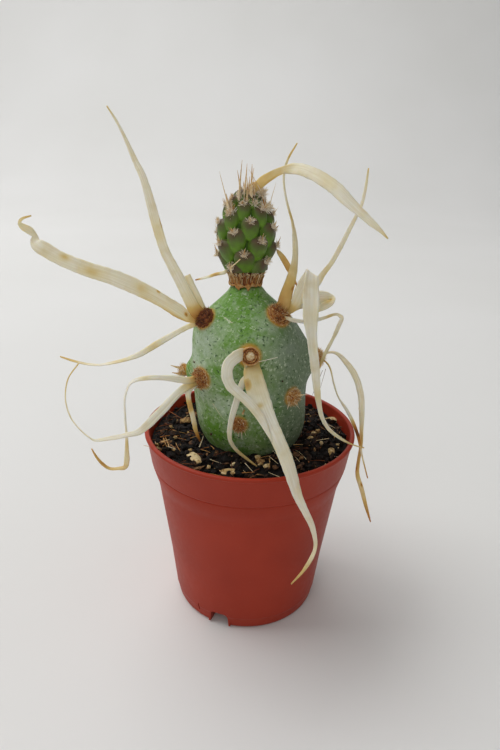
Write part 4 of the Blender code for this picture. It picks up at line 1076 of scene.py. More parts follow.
@dataclass
class OldJoint:
    """The barrel-shaped lower joint of the stem, with a mound under each areole."""

    finish: Finish
    barrel: tuple[tuple[float, float], ...] = (
        (40.5, 6.0), (44.0, 10.0), (48.0, 12.6), (52.0, 14.0), (57.0, 14.4), (62.0, 14.3),
        (67.0, 14.3), (72.0, 14.1), (77.0, 13.2), (81.0, 10.5), (84.0, 7.6), (86.5, 5.0),
        (88.3, 3.6), (88.7, 2.6),
    )
    foot: float = 40.0
    neck_top: float = 92.0
    steps: int = 220
    steps_per_station: int = 10
    fade_radius: float = 8.0
    lean_foot: float = 48.0
    lean_run: float = 40.0
    lean_start: tuple[float, float] = (0.5, 1.5)
    lean_shift: tuple[float, float] = (-2.3, -1.5)
    slope_step: float = 1.5
    cork_width: float = 0.45
    # Patches of bare green skin and of bloom: azimuth, height, reach in mm and strength.
    green: tuple[tuple[float, float, float, float], ...] = (
        (263, 86.5, 6.0, 1.0), (265, 82.0, 3.4, 0.9), (256, 77.5, 3.0, 0.75), (241, 70.5, 2.2, 0.6),
        (246, 66.0, 2.0, 0.5), (233, 54.5, 4.6, 1.0), (252, 51.0, 3.6, 0.8), (300, 61.5, 3.0, 0.9),
        (309, 79.2, 2.2, 0.9), (284, 56.0, 3.0, 0.45), (185, 66.0, 3.0, 0.7), (90, 84.0, 6.0, 0.8),
        (60, 55.0, 6.0, 0.8), (150, 60.0, 6.0, 0.7),
    )
    bloomed: tuple[tuple[float, float, float, float], ...] = (
        (224, 77.5, 4.4, 0.85), (212, 71.5, 4.2, 0.8), (221, 64.0, 3.4, 0.8), (244, 60.8, 3.2, 0.85),
        (234, 67.5, 2.2, 0.5), (301, 82.0, 3.0, 0.85), (311, 76.5, 3.6, 0.75), (290, 65.5, 2.0, 0.7),
        (286, 79.0, 2.6, 0.5), (207, 57.0, 3.0, 0.6), (262, 53.5, 2.4, 0.5), (340, 79.0, 2.6, 0.6),
        (30, 70.0, 7.0, 0.7), (110, 66.0, 7.0, 0.8), (160, 76.0, 6.0, 0.7),
    )

    def axis(self, height: float) -> Vector:
        """Return the joint's centre at a height."""
        run = (height - self.lean_foot) / self.lean_run
        return Vector((
            self.lean_start[0] + self.lean_shift[0] * run,
            self.lean_start[1] + self.lean_shift[1] * run,
            height,
        ))

    def radius(self, height: float) -> float:
        """Return the plain barrel's radius at a height."""
        return between(self.barrel, height)

    def rise(self, azimuth: float, height: float) -> float:
        """Return how far the mounds lift the surface at a place."""
        lifted = 0.0
        for spot_azimuth, spot_height, lift, spread, _, _ in AREOLES.values():
            around = math.radians(azimuth_between(azimuth, spot_azimuth)) * self.radius(spot_height)
            distance = math.hypot(around, height - spot_height)
            lifted += lift * math.exp(-0.5 * (distance / spread) ** 2)
        return lifted

    def seat(self, name: str) -> tuple[Vector, Vector]:
        """Return where a named areole sits, and the way it faces."""
        azimuth, height, *_ = AREOLES[name]
        outward = polar(1.0, azimuth)
        change = self.radius(height + self.slope_step) - self.radius(height - self.slope_step)
        slope = change / (2 * self.slope_step)
        place = self.axis(height) + outward * (self.radius(height) + self.rise(azimuth, height))
        return place, (outward - UP * slope).normalized()

    def amount(self, patches: Sequence[Sequence[float]], azimuth: float, height: float) -> float:
        """Return how strongly a table of soft patches covers a place, from 0 to 1."""
        most = 0.0
        for spot_azimuth, spot_height, reach, strength in patches:
            around = math.radians(azimuth_between(azimuth, spot_azimuth)) * self.radius(spot_height)
            distance = math.hypot(around, height - spot_height)
            most = max(most, strength * math.exp(-0.7 * (distance / reach) ** 2))
        return most

    def build(self) -> None:
        """Turn the barrel finely, lift its mounds and mark its patches and corky rings."""
        barrel = [(radius, height) for height, radius in smooth_path(self.barrel, self.steps_per_station)]
        neck = barrel[-1][0]
        profile = [(0.0, self.neck_top), (neck, self.neck_top), *reversed(barrel), (0.0, self.foot)]
        bm = spun(profile, self.steps)
        cork, leaf, bloom = (bm.verts.layers.float.new(name) for name in ("cork", "leaf", "bloom"))
        seats = [(self.seat(name)[0], areole[4]) for name, areole in AREOLES.items()]
        for vertex in bm.verts:
            height = vertex.co.z
            radius = math.hypot(vertex.co.x, vertex.co.y)
            azimuth = math.degrees(math.atan2(vertex.co.y, vertex.co.x))
            fade = min(1.0, radius / self.fade_radius) ** 2
            uneven = 0.2 * noise.noise(vertex.co * 0.16) + 0.06 * noise.noise(vertex.co * 0.6)
            lift = (self.rise(azimuth, height) + uneven) * fade
            vertex.co = self.axis(height) + polar(radius + lift, azimuth)
            ring = 0.0
            for place, cushion in seats:
                edge = (vertex.co - place).length - cushion
                ring = max(ring, math.exp(-(max(0.0, edge) / self.cork_width) ** 2))
            vertex[cork] = 0.9 * ring
            vertex[leaf] = self.amount(self.green, azimuth, height)
            vertex[bloom] = self.amount(self.bloomed, azimuth, height) * (1.0 - 0.8 * vertex[leaf])
        to_metres(bm)
        present(put("old_joint_skin", bm, self.finish.make(), 70.0), Slot.SKIN, "old_joint")


@dataclass
class NeckCollar:
    """The ring of dry fibres round the neck between the two joints."""

    joint: OldJoint
    fibre: bpy.types.Material
    foot: float = 88.9
    foot_radius: float = 3.7
    top_radius: float = 4.5
    bore: float = 2.9
    top: float = 92.0
    seed: int = 11

    def build(self) -> None:
        """Turn the ring, then stand fibres round it and cream tips on its edge."""
        draw = random.Random(self.seed)
        profile = [
            (self.bore, self.top), (self.top_radius - 0.35, self.top), (self.top_radius - 0.62, self.top - 1.1),
            (self.foot_radius - 0.2, self.foot + 1.1), (self.foot_radius - 0.05, self.foot + 0.62),
            (self.foot_radius + 0.3, self.foot + 0.4), (self.foot_radius + 0.38, self.foot + 0.15),
            (self.foot_radius + 0.2, self.foot - 0.05), (self.bore, self.foot - 0.05),
        ]
        bm = spun(profile, 88)
        tone = bm.verts.layers.float.new("tone")
        centre = self.joint.axis(self.top)
        for vertex in bm.verts:
            grain = noise.noise(vertex.co * 1.4)
            vertex[tone] = 0.58 + 0.16 * grain if vertex.co.z < self.foot + 0.5 else 0.2 + 0.2 * grain
            vertex.co *= 1.0 + 0.015 * grain
            vertex.co += Vector((centre.x, centre.y, 0.0))
        to_metres(bm)
        present(put("collar_ring", bm, self.fibre), Slot.COLLAR, "neck_collar")

        strands = Strands(sides=4, rings=2)
        for index in range(150):
            azimuth = index * 2.4 + draw.uniform(-1.6, 1.6)
            root = centre + polar(self.foot_radius + draw.uniform(-0.15, 0.1), azimuth)
            root.z = self.foot + draw.uniform(0.15, 0.7)
            way = UP + polar(0.14, azimuth) + polar(0.14, azimuth + 90.0) * draw.uniform(-1.0, 1.0)
            base = draw.choice((0.24, 0.32, 0.4, 0.46, 0.54, 0.62, 0.7))
            strands.lay(
                root, way, draw.uniform(1.7, 3.0), draw.uniform(0.07, 0.16), base,
                base + draw.uniform(0.05, 0.25), bend=polar(0.42, azimuth), taper=0.7,
            )
        for index in range(150):
            azimuth = index * 2.4 + draw.uniform(-1.6, 1.6)
            root = centre + polar(self.top_radius - draw.uniform(0.05, 0.45), azimuth)
            root.z = self.top - draw.uniform(0.1, 0.9)
            way = UP * draw.uniform(0.5, 1.2) + polar(0.6, azimuth + draw.uniform(-50.0, 50.0))
            strands.lay(
                root, way, draw.uniform(0.5, 1.2), draw.uniform(0.06, 0.11), 0.68, 0.88,
                bend=polar(draw.uniform(-0.3, 0.3), azimuth + 90.0),
            )
        for _ in range(110):
            azimuth = draw.uniform(0.0, 360.0)
            root = centre + polar(self.foot_radius + draw.uniform(0.2, 0.42), azimuth)
            root.z = self.foot + draw.uniform(-0.05, 0.35)
            way = polar(1.0, azimuth + draw.choice((-90.0, 90.0)), draw.uniform(-0.3, 0.5))
            strands.lay(
                root, way, draw.uniform(0.5, 1.1), draw.uniform(0.07, 0.12), draw.uniform(0.5, 0.78),
                bend=polar(-0.1, azimuth),
            )
        present(strands.finish("collar_fibres", self.fibre), Slot.COLLAR, "neck_collar")


@dataclass
class NewJoint:
    """The young joint: plump tubercles on a spiral, each with a woolly, bristly areole."""

    skin: Finish
    fibre: bpy.types.Material
    core: tuple[tuple[float, float], ...] = (
        (92.3, 3.3), (95.0, 4.6), (98.0, 5.3), (102.0, 5.1), (105.5, 4.1), (108.5, 2.6), (110.4, 1.2),
    )
    axis: tuple[float, float] = (-2.1, 0.3)
    first: int = -3
    last: int = 37
    start_azimuth: float = 149.6
    start_height: float = 91.4
    climb: float = 0.73
    crowding: float = 0.005
    depth: float = 2.0
    half_width: float = 2.8
    half_length: float = 3.3
    flare: float = 0.18
    drop: float = 1.74
    lean: float = 0.2
    shrink: float = 0.45
    shrink_span: int = 33
    steps: int = 240
    seed: int = 3
    # The pale spine bent down from the low front areole, in mm.
    bent: tuple[tuple[float, float, float], ...] = (
        (-2.4, -5.7, 96.4), (-3.3, -6.2, 95.9), (-4.3, -6.6, 95.0), (-5.5, -6.7, 93.9), (-5.3, -6.4, 92.8),
    )

    def spot(self, index: int) -> tuple[float, float, float]:
        """Return a tubercle's azimuth, its centre's height and its size as a share."""
        azimuth = self.start_azimuth - GOLDEN_ANGLE * index
        height = self.start_height + self.climb * index - self.crowding * index ** 2
        share = 1.0 - self.shrink * (max(index, 0) / self.shrink_span) ** 2
        return azimuth, height - self.drop, share

    def relief(self, azimuth: float, height: float) -> tuple[float, float]:
        """Return how far the tubercles stand out at a place, and how high on one it is."""
        radius = between(self.core, height) + 0.5 * self.depth
        best, level = 0.0, 0.0
        for index in range(self.first, self.last + 1):
            spot_azimuth, centre, share = self.spot(index)
            up = (height - centre) / (self.half_length * share)
            if abs(up) >= 1.0:
                continue
            turn = (azimuth - spot_azimuth + 180.0) % 360.0 - 180.0
            width = self.half_width * share * (1.0 + self.flare * up)
            across = math.radians(turn) * radius / width
            if abs(across) >= 1.0:
                continue
            far = abs(across) ** 2.2 + abs(up) ** 2.4
            if far >= 1.0:
                continue
            dome = math.sqrt(1.0 - far)
            lifted = share * dome * (self.depth + self.lean * self.half_length * up)
            if lifted > best:
                best = lifted
                tip = clamped((up + 0.25) / 0.85) * (1.0 - 0.5 * across ** 2)
                level = clamped(0.06 + 0.42 * dome + 0.5 * tip - 0.16 * clamped(-up))
        return best, level

    def surface(self, azimuth: float, height: float) -> Vector:
        """Return the skin's point at an azimuth and a height."""
        lifted, _ = self.relief(azimuth, height)
        radius = between(self.core, height) + lifted
        return Vector((*self.axis, 0.0)) + polar(radius, azimuth, height + 0.3 * lifted)

    def build(self) -> None:
        """Turn the core finely, raise the tubercles and dress their areoles."""
        side = self.side()
        profile = [(0.0, side[-1][1] + 0.3), *reversed(side), (0.0, side[0][1])]
        bm = spun(profile, self.steps)
        climb = bm.verts.layers.float.new("climb")
        for vertex in bm.verts:
            height = vertex.co.z
            radius = math.hypot(vertex.co.x, vertex.co.y)
            azimuth = math.degrees(math.atan2(vertex.co.y, vertex.co.x))
            lifted, level = self.relief(azimuth, height) if radius > 0.01 else (0.0, 0.4)
            lifted += 0.08 * noise.noise(vertex.co * 0.9)
            rise = 0.3 * lifted * clamped((height - self.core[0][0]) / 1.5)
            vertex.co = Vector((*self.axis, 0.0)) + polar(radius + lifted, azimuth, height + rise)
            vertex[climb] = level
        to_metres(bm)
        present(put("new_joint_skin", bm, self.skin.make(), 80.0), Slot.YOUNG, "new_joint")
        self.dress_areoles()

    def side(self) -> list[tuple[float, float]]:
        """Return the core's side as (radius, height) points, evenly spaced from its foot."""
        path = [Vector((radius, 0.0, height)) for height, radius in smooth_path(self.core, 16)]
        return [(point.x, point.z) for point in evenly(path, 0.15)]

    def dress_areoles(self) -> None:
        """Give each tubercle's areole its white wool and its small tan spines."""
        draw = random.Random(self.seed)
        wool, bristles = Strands(rings=2), Strands(sides=4, rings=3)
        for index in range(1, self.last - 3):
            azimuth, centre, share = self.spot(index)
            height = centre + 0.56 * self.half_length * share
            if height > self.core[-1][0] - 0.6 or height < self.core[0][0] + 0.4:
                continue
            seat = self.surface(azimuth, height)
            out = (polar(1.0, azimuth) + UP * 0.55).normalized()
            side = out.cross(UP).normalized()
            lift = side.cross(out).normalized()
            for _ in range(80):
                angle = draw.uniform(0.0, math.tau)
                spread = 0.75 * math.sqrt(draw.random()) * share
                root = seat - out * 0.15 + (side * math.cos(angle) + lift * 0.7 * math.sin(angle)) * spread
                way = out + side * draw.uniform(-1.0, 1.0) + lift * draw.uniform(-0.8, 1.0)
                curl = side * draw.uniform(-0.5, 0.5) + lift * draw.uniform(-0.4, 0.5)
                tone = draw.uniform(0.82, 1.0)
                wool.lay(
                    root, way, draw.uniform(0.5, 1.35) * share, draw.uniform(0.05, 0.1), tone, bend=curl,
                    taper=0.4,
                )
            for _ in range(draw.choice((2, 3, 4, 5))):
                root = seat + side * draw.uniform(-0.35, 0.35)
                way = out * 0.6 + side * draw.uniform(-0.5, 0.5) + UP * draw.uniform(0.1, 1.1)
                bristles.lay(
                    root, way, draw.uniform(0.8, 2.2) * share, 0.11, draw.uniform(0.5, 0.72),
                    draw.uniform(0.6, 0.95), bend=UP * draw.uniform(-0.3, 0.5), taper=0.2,
                    breadth=draw.uniform(1.0, 2.6), roll=draw.uniform(0.0, math.pi),
                )
        for start, end in zip(self.bent, self.bent[1:]):
            way = Vector(end) - Vector(start)
            bristles.lay(
                Vector(start), way, way.length + 0.1, 0.15, 0.8, 0.74, taper=0.8, breadth=1.9,
            )
        present(wool.finish("new_joint_wool", self.fibre), Slot.PAPER, "new_joint")
        present(bristles.finish("new_joint_bristles", self.fibre), Slot.PAPER, "new_joint")


@dataclass(frozen=True)
class BladeLook:
    """How one blade is stained and how it curls."""

    # Stain at the root: how strong it is, and how far it reaches in mm.
    stain: float = 0.5
    reach: float = 3.0
    # The same at the tip.
    tip_stain: float = 0.25
    tip_reach: float = 4.0
    # Trough depth as a share of the width. Below 0 it bows the other way.
    curl: float = 0.05
    # Marks: place along the blade and reach in mm, strength, and the place across it, from -1
    # to 1, with its spread; a spread past 1 takes the full width.
    marks: tuple[tuple[float, float, float, float, float], ...] = ()


LOOKS: dict[tuple[str, int], BladeLook] = {
    ("upper_left", 0): BladeLook(
        stain=0.55, reach=4.5,
        marks=((22.0, 3.0, 0.16, 0.0, 9.0), (17.0, 3.0, 0.12, -0.9, 0.6), (24.0, 1.2, 0.8, 1.1, 0.25)),
    ),
    ("upper_left", 1): BladeLook(stain=0.3, reach=2.5, tip_stain=0.1),
    ("upper_left", 2): BladeLook(
        stain=0.5, reach=3.5, tip_stain=0.3, tip_reach=5.0,
        marks=(
            (5.0, 8.0, 0.42, -1.1, 0.5), (4.0, 0.6, 0.7, 0.3, 0.3), (12.5, 0.5, 0.6, 0.9, 0.2),
            (16.0, 2.4, 0.2, 0.2, 0.8), (27.0, 2.6, 0.24, -0.2, 0.9), (34.0, 1.4, 0.3, 0.4, 0.6),
        ),
    ),
    ("upper_left", 3): BladeLook(
        stain=0.35, reach=4.0, tip_stain=0.35, tip_reach=9.0,
        marks=((14.0, 3.0, 0.2, 0.0, 9.0), (24.0, 4.0, 0.22, 0.0, 9.0)),
    ),
    ("lower_left", 0): BladeLook(
        stain=0.4, tip_stain=0.45, tip_reach=14.0,
        marks=((13.0, 2.0, 0.16, 0.0, 9.0), (34.0, 5.0, 0.26, 0.0, 9.0)),
    ),
    ("lower_left", 1): BladeLook(stain=0.42, reach=3.5, tip_stain=0.3, tip_reach=20.0),
    ("lower_left", 2): BladeLook(
        stain=0.14, reach=3.0, tip_stain=0.78, tip_reach=4.5, marks=((7.0, 1.8, 0.5, 0.0, 9.0),)
    ),
    ("front", 0): BladeLook(
        stain=0.34, reach=9.0, tip_stain=0.4, tip_reach=12.0, curl=0.06,
        marks=(
            (6.0, 1.6, 0.5, 0.75, 0.5), (2.8, 3.0, 0.28, 0.0, 9.0), (11.5, 1.0, 0.3, 0.3, 0.6),
            (18.0, 9.0, 0.22, 0.95, 0.35), (24.0, 5.0, 0.12, 0.0, 9.0), (33.0, 2.0, 0.14, -0.3, 0.6),
        ),
    ),
    ("front", 1): BladeLook(stain=0.2, reach=2.0, tip_stain=0.14, marks=((17.0, 5.0, 0.2, 0.9, 0.6),)),
    ("front", 2): BladeLook(stain=0.26, reach=6.0, tip_stain=0.4, tip_reach=9.0),
    ("upper_right", 0): BladeLook(
        stain=0.46, reach=14.0, tip_stain=0.3, tip_reach=10.0, curl=0.12,
        marks=((6.5, 1.0, 0.6, 0.8, 0.4), (24.0, 6.0, 0.26, 0.0, 9.0)),
    ),
    ("upper_right", 1): BladeLook(
        stain=0.48, reach=4.0, tip_stain=0.35, tip_reach=12.0,
        marks=(
            (7.0, 5.0, 0.34, 1.1, 0.7), (24.0, 2.6, 0.12, 0.0, 9.0), (31.0, 2.2, 0.14, 0.3, 0.8),
            (43.0, 3.0, 0.2, 0.0, 9.0),
        ),
    ),
    ("upper_right", 2): BladeLook(stain=0.5, reach=5.0, marks=((14.0, 4.0, 0.2, 0.5, 0.9),)),
    ("upper_right", 3): BladeLook(
        stain=0.5, reach=3.0, tip_stain=0.3, tip_reach=2.0, marks=((16.0, 4.0, 0.3, 0.6, 0.9),)
    ),
    ("upper_right", 4): BladeLook(
        stain=0.4, reach=3.0, tip_stain=0.34, tip_reach=5.0, marks=((16.0, 3.0, 0.26, 0.0, 9.0),)
    ),
    ("right", 0): BladeLook(
        stain=0.5, reach=2.0, tip_stain=0.66, tip_reach=10.0,
        marks=(
            (38.0, 7.0, 0.36, 0.0, 9.0), (31.0, 6.0, 0.26, 0.0, 9.0), (39.0, 0.8, 0.75, 0.6, 0.4),
            (44.0, 0.8, 0.75, -0.4, 0.4), (12.0, 3.0, 0.14, 0.3, 0.6),
        ),
    ),
    ("right", 1): BladeLook(
        stain=0.34, reach=9.0, tip_stain=0.6, tip_reach=6.0, marks=((23.0, 3.4, 0.9, 0.0, 9.0),)
    ),
    ("crown", 0): BladeLook(
        stain=0.36, reach=12.0, tip_stain=0.22, curl=0.08,
        marks=((5.0, 4.0, 0.4, 0.8, 0.6), (21.0, 3.0, 0.14, 0.0, 9.0)),
    ),
    ("new_right", 0): BladeLook(
        stain=0.5, reach=3.0, tip_stain=0.9, tip_reach=2.2,
        marks=((6.0, 5.0, 0.42, 0.0, 9.0), (8.0, 0.6, 0.6, 0.4, 0.6)),
    ),
    ("new_left", 0): BladeLook(
        stain=0.2, reach=3.0, tip_stain=0.85, tip_reach=1.4, marks=((5.6, 2.0, 0.42, 0.0, 9.0),)
    ),
}


@dataclass
class Blades:
    """The papery blades of one areole: grids laid along their paths, then given a thickness."""

    name: str
    seat: Vector
    paper: bpy.types.Material
    slot: Slot = Slot.PAPER
    thickness: float = 0.14
    spacing: float = 0.42
    cell: float = 0.42
    root_reach: float = 0.6

    def stain(self, look: BladeLook, place: float, length: float, share: float) -> float:
        """Return how stained a blade is at a place along and across it, from 0 to 1."""
        root = look.stain * math.exp(-((place / look.reach) ** 1.5))
        tip = look.tip_stain * math.exp(-((max(0.0, length - place) / look.tip_reach) ** 1.5))
        marks = [
            strength
            * math.exp(-(((place - at) / reach) ** 2))
            * (1.0 if spread > 1.0 else math.exp(-(((share - side) / spread) ** 2)))
            for at, reach, strength, side, spread in look.marks
        ]
        return clamped(max([root, tip, *marks]))

    def across(self, places: Sequence[Vector]) -> list[tuple[Vector, Vector]]:
        """Return the blade's way and the way across it at each place.

        The way across is carried along the path, so that a blade that folds back
        on itself doesn't roll over, and settles toward showing its flat side.
        """
        last = len(places) - 1
        ways: list[tuple[Vector, Vector]] = []
        for row in range(len(places)):
            along = (places[min(row + 1, last)] - places[max(row - 1, 0)]).normalized()
            wanted = along.cross(FACING)
            hold = clamped(1.5 * wanted.length - 0.3)
            wanted.normalize()
            if ways:
                before = ways[-1][1]
                carried = (before - along * before.dot(along)).normalized()
                if wanted.dot(carried) < 0.0:
                    wanted.negate()
                wanted = carried.lerp(wanted, 0.35 * hold)
                wanted = (wanted - along * wanted.dot(along)).normalized()
            ways.append((along, wanted))
        return ways

    def lay(self, bm: bmesh.types.BMesh, stations: Stations, look: BladeLook, shift: float) -> None:
        """Lay one blade's grid along its path.

        Args:
            bm: the bmesh, in mm, with a stain layer and a UV map.
            stations: the blade's stations, without its root.
            look: how it is stained and curled.
            shift: what sets its noise apart from other blades'.
        """
        first = Vector(stations[0])
        root = Vector(first[:3]).lerp(self.seat, self.root_reach)
        path = evenly(smooth_path([(*root, first[3], first[4]), *stations], 12), self.spacing)
        places = [Vector(point[:3]) for point in path]
        rows = len(path) - 1
        length = sum((after - before).length for before, after in zip(places, places[1:]))
        cells = max(3, round(max(point[3] for point in path) / self.cell))
        ways = self.across(places)
        stain = bm.verts.layers.float["stain"]
        sheet = bm.loops.layers.uv["blade"]
        made = bmesh.ops.create_grid(bm, x_segments=cells, y_segments=rows, size=0.5)
        flat: dict[bmesh.types.BMVert, tuple[float, float]] = {}
        for vertex in made["verts"]:
            share = vertex.co.x * 2.0
            row = round((vertex.co.y + 0.5) * rows)
            place = length * row / rows
            along, flush = ways[row]
            twist = math.radians(path[row][4] + 8.0 * noise.noise((0.09 * place, shift, 0.0)))
            across = Matrix.Rotation(twist, 3, along) @ flush
            facing = across.cross(along).normalized()
            ragged = 1.0 + 0.07 * noise.noise((0.8 * place, shift, math.copysign(3.0, share)))
            half = 0.5 * max(0.26, path[row][3]) * ragged
            bow = look.curl * 2.0 * half * (1.0 - share ** 2)
            ply = 0.1 * noise.noise((0.22 * place, 0.9 * share, shift))
            crinkle = 0.05 * noise.noise((0.9 * place, 2.2 * share, shift + 5.0))
            offset = bow + (ply + crinkle) * min(1.3, half)
            vertex.co = places[row] + across * (half * share) + facing * offset
            vertex[stain] = self.stain(look, place, length, share)
            flat[vertex] = (half * share * MM, (place + 60.0 * shift) * MM)
        for face in {face for vertex in flat for face in vertex.link_faces}:
            for corner in face.loops:
                corner[sheet].uv = flat[corner.vert]

    def build(self) -> None:
        """Lay every blade, thicken them and show them."""
        bm = bmesh.new()
        bm.verts.layers.float.new("stain")
        bm.loops.layers.uv.new("blade")
        for index, stations in enumerate(BLADES[self.name]):
            look = LOOKS.get((self.name, index), BladeLook())
            self.lay(bm, stations, look, index + 0.37 * len(self.name))
        to_metres(bm)
        blades = put(self.name + "_blades", bm, self.paper, 60.0)
        solidify = blades.modifiers.new("thickness", "SOLIDIFY")
        solidify.thickness = self.thickness * MM
        solidify.offset = 0.0
        present(blades, self.slot, self.name + "_spines")


@dataclass(frozen=True)
class Felt:
    """The colour and the build of one areole's cushion."""

    low: float = 0.2
    high: float = 0.55
    rim: float = 0.62
    hairs: int = 420
    longest: float = 0.75
    # How far crumbs and pits rise and sink in it, in mm.
    crumble: float = 0.35
    # Bristles that stand out of it: how many, the longest in mm, and their droop.
    bristles: int = 0
    reach: float = 2.0
    droop: float = 0.0
    # Bristles at known places: root, tip, radius, and tones at root and tip.
    spikes: tuple[tuple[Sequence[float], Sequence[float], float, float, float], ...] = ()


FELTS: dict[str, Felt] = {
    "upper_left": Felt(
        low=0.04, high=0.34, rim=0.3, hairs=560, longest=0.7, crumble=0.6,
        spikes=(((-8.6, -7.6, 81.4), (-6.6, -8.6, 81.6), 0.06, 0.9, 0.95),
                ((-8.8, -7.4, 80.8), (-7.2, -8.8, 80.2), 0.05, 0.85, 0.95)),
    ),
    "lower_left": Felt(
        low=0.28, high=0.6, rim=0.62, hairs=620, longest=0.9, bristles=9, reach=1.5,
        spikes=(((-14.4, -12.2, 69.8), (-15.6, -12.2, 72.6), 0.06, 0.85, 0.95),
                ((-14.0, -12.6, 70.2), (-14.4, -13.2, 72.0), 0.05, 0.9, 0.95)),
    ),
    "left_back": Felt(
        low=0.5, high=0.8, hairs=220, longest=0.8,
        spikes=(
            ((-18.2, 1.4, 65.8), (-20.8, 0.8, 66.7), 0.42, 0.72, 0.78),
            ((-18.2, 0.6, 64.6), (-20.4, 0.2, 64.8), 0.38, 0.68, 0.6),
            ((-18.2, 0.8, 64.2), (-20.6, 0.4, 62.6), 0.3, 0.8, 0.86),
            ((-17.2, -1.6, 66.8), (-17.9, -2.6, 69.2), 0.06, 0.9, 0.95),
            ((-16.8, -2.0, 66.2), (-18.6, -3.0, 68.0), 0.06, 0.9, 0.95),
            ((-16.8, -2.4, 65.4), (-18.8, -3.6, 66.0), 0.06, 0.9, 0.95),
        ),
    ),
    "upper_right": Felt(
        low=0.22, high=0.62, rim=0.58, hairs=640, longest=0.95, crumble=0.5, bristles=16, reach=1.4,
    ),
    "right": Felt(low=0.5, high=0.8, hairs=420, longest=1.0, bristles=12, reach=1.4),
    "low_right": Felt(
        low=0.44, high=0.76, rim=0.7, hairs=300, longest=0.9, crumble=0.4, bristles=8, reach=1.5,
        spikes=(
            ((10.4, -10.6, 64.6), (13.6, -11.0, 64.7), 0.22, 0.55, 0.9),
            ((10.2, -10.8, 64.2), (12.6, -11.6, 65.0), 0.16, 0.6, 0.92),
            ((10.0, -11.0, 63.6), (11.8, -12.2, 61.4), 0.14, 0.8, 0.9),
            ((9.4, -11.2, 63.2), (8.8, -12.4, 61.6), 0.2, 0.78, 0.9),
            ((9.0, -11.2, 64.6), (9.8, -11.8, 66.4), 0.12, 0.55, 0.75),
            ((9.8, -11.0, 64.4), (11.2, -11.6, 66.0), 0.1, 0.5, 0.7),
        ),
    ),
    "low_front": Felt(
        low=0.36, high=0.62, rim=0.6, hairs=300, longest=0.8, bristles=4, reach=1.2, droop=0.7,
        spikes=(
            ((-2.4, -13.9, 57.2), (-2.7, -15.2, 55.2), 0.12, 0.7, 0.92),
            ((-2.0, -14.0, 57.0), (-1.8, -15.4, 54.8), 0.12, 0.7, 0.95),
            ((-1.6, -14.0, 57.2), (-0.8, -15.3, 55.4), 0.12, 0.65, 0.92),
            ((-3.0, -13.8, 57.8), (-3.8, -14.9, 56.2), 0.1, 0.6, 0.85),
            ((-1.4, -14.0, 58.0), (-0.2, -15.0, 57.4), 0.1, 0.55, 0.85),
        ),
    ),
    "upper_back": Felt(bristles=8),
    "middle_back": Felt(low=0.3, high=0.6, bristles=8),
    "low_back": Felt(low=0.3, high=0.6, bristles=8),
}


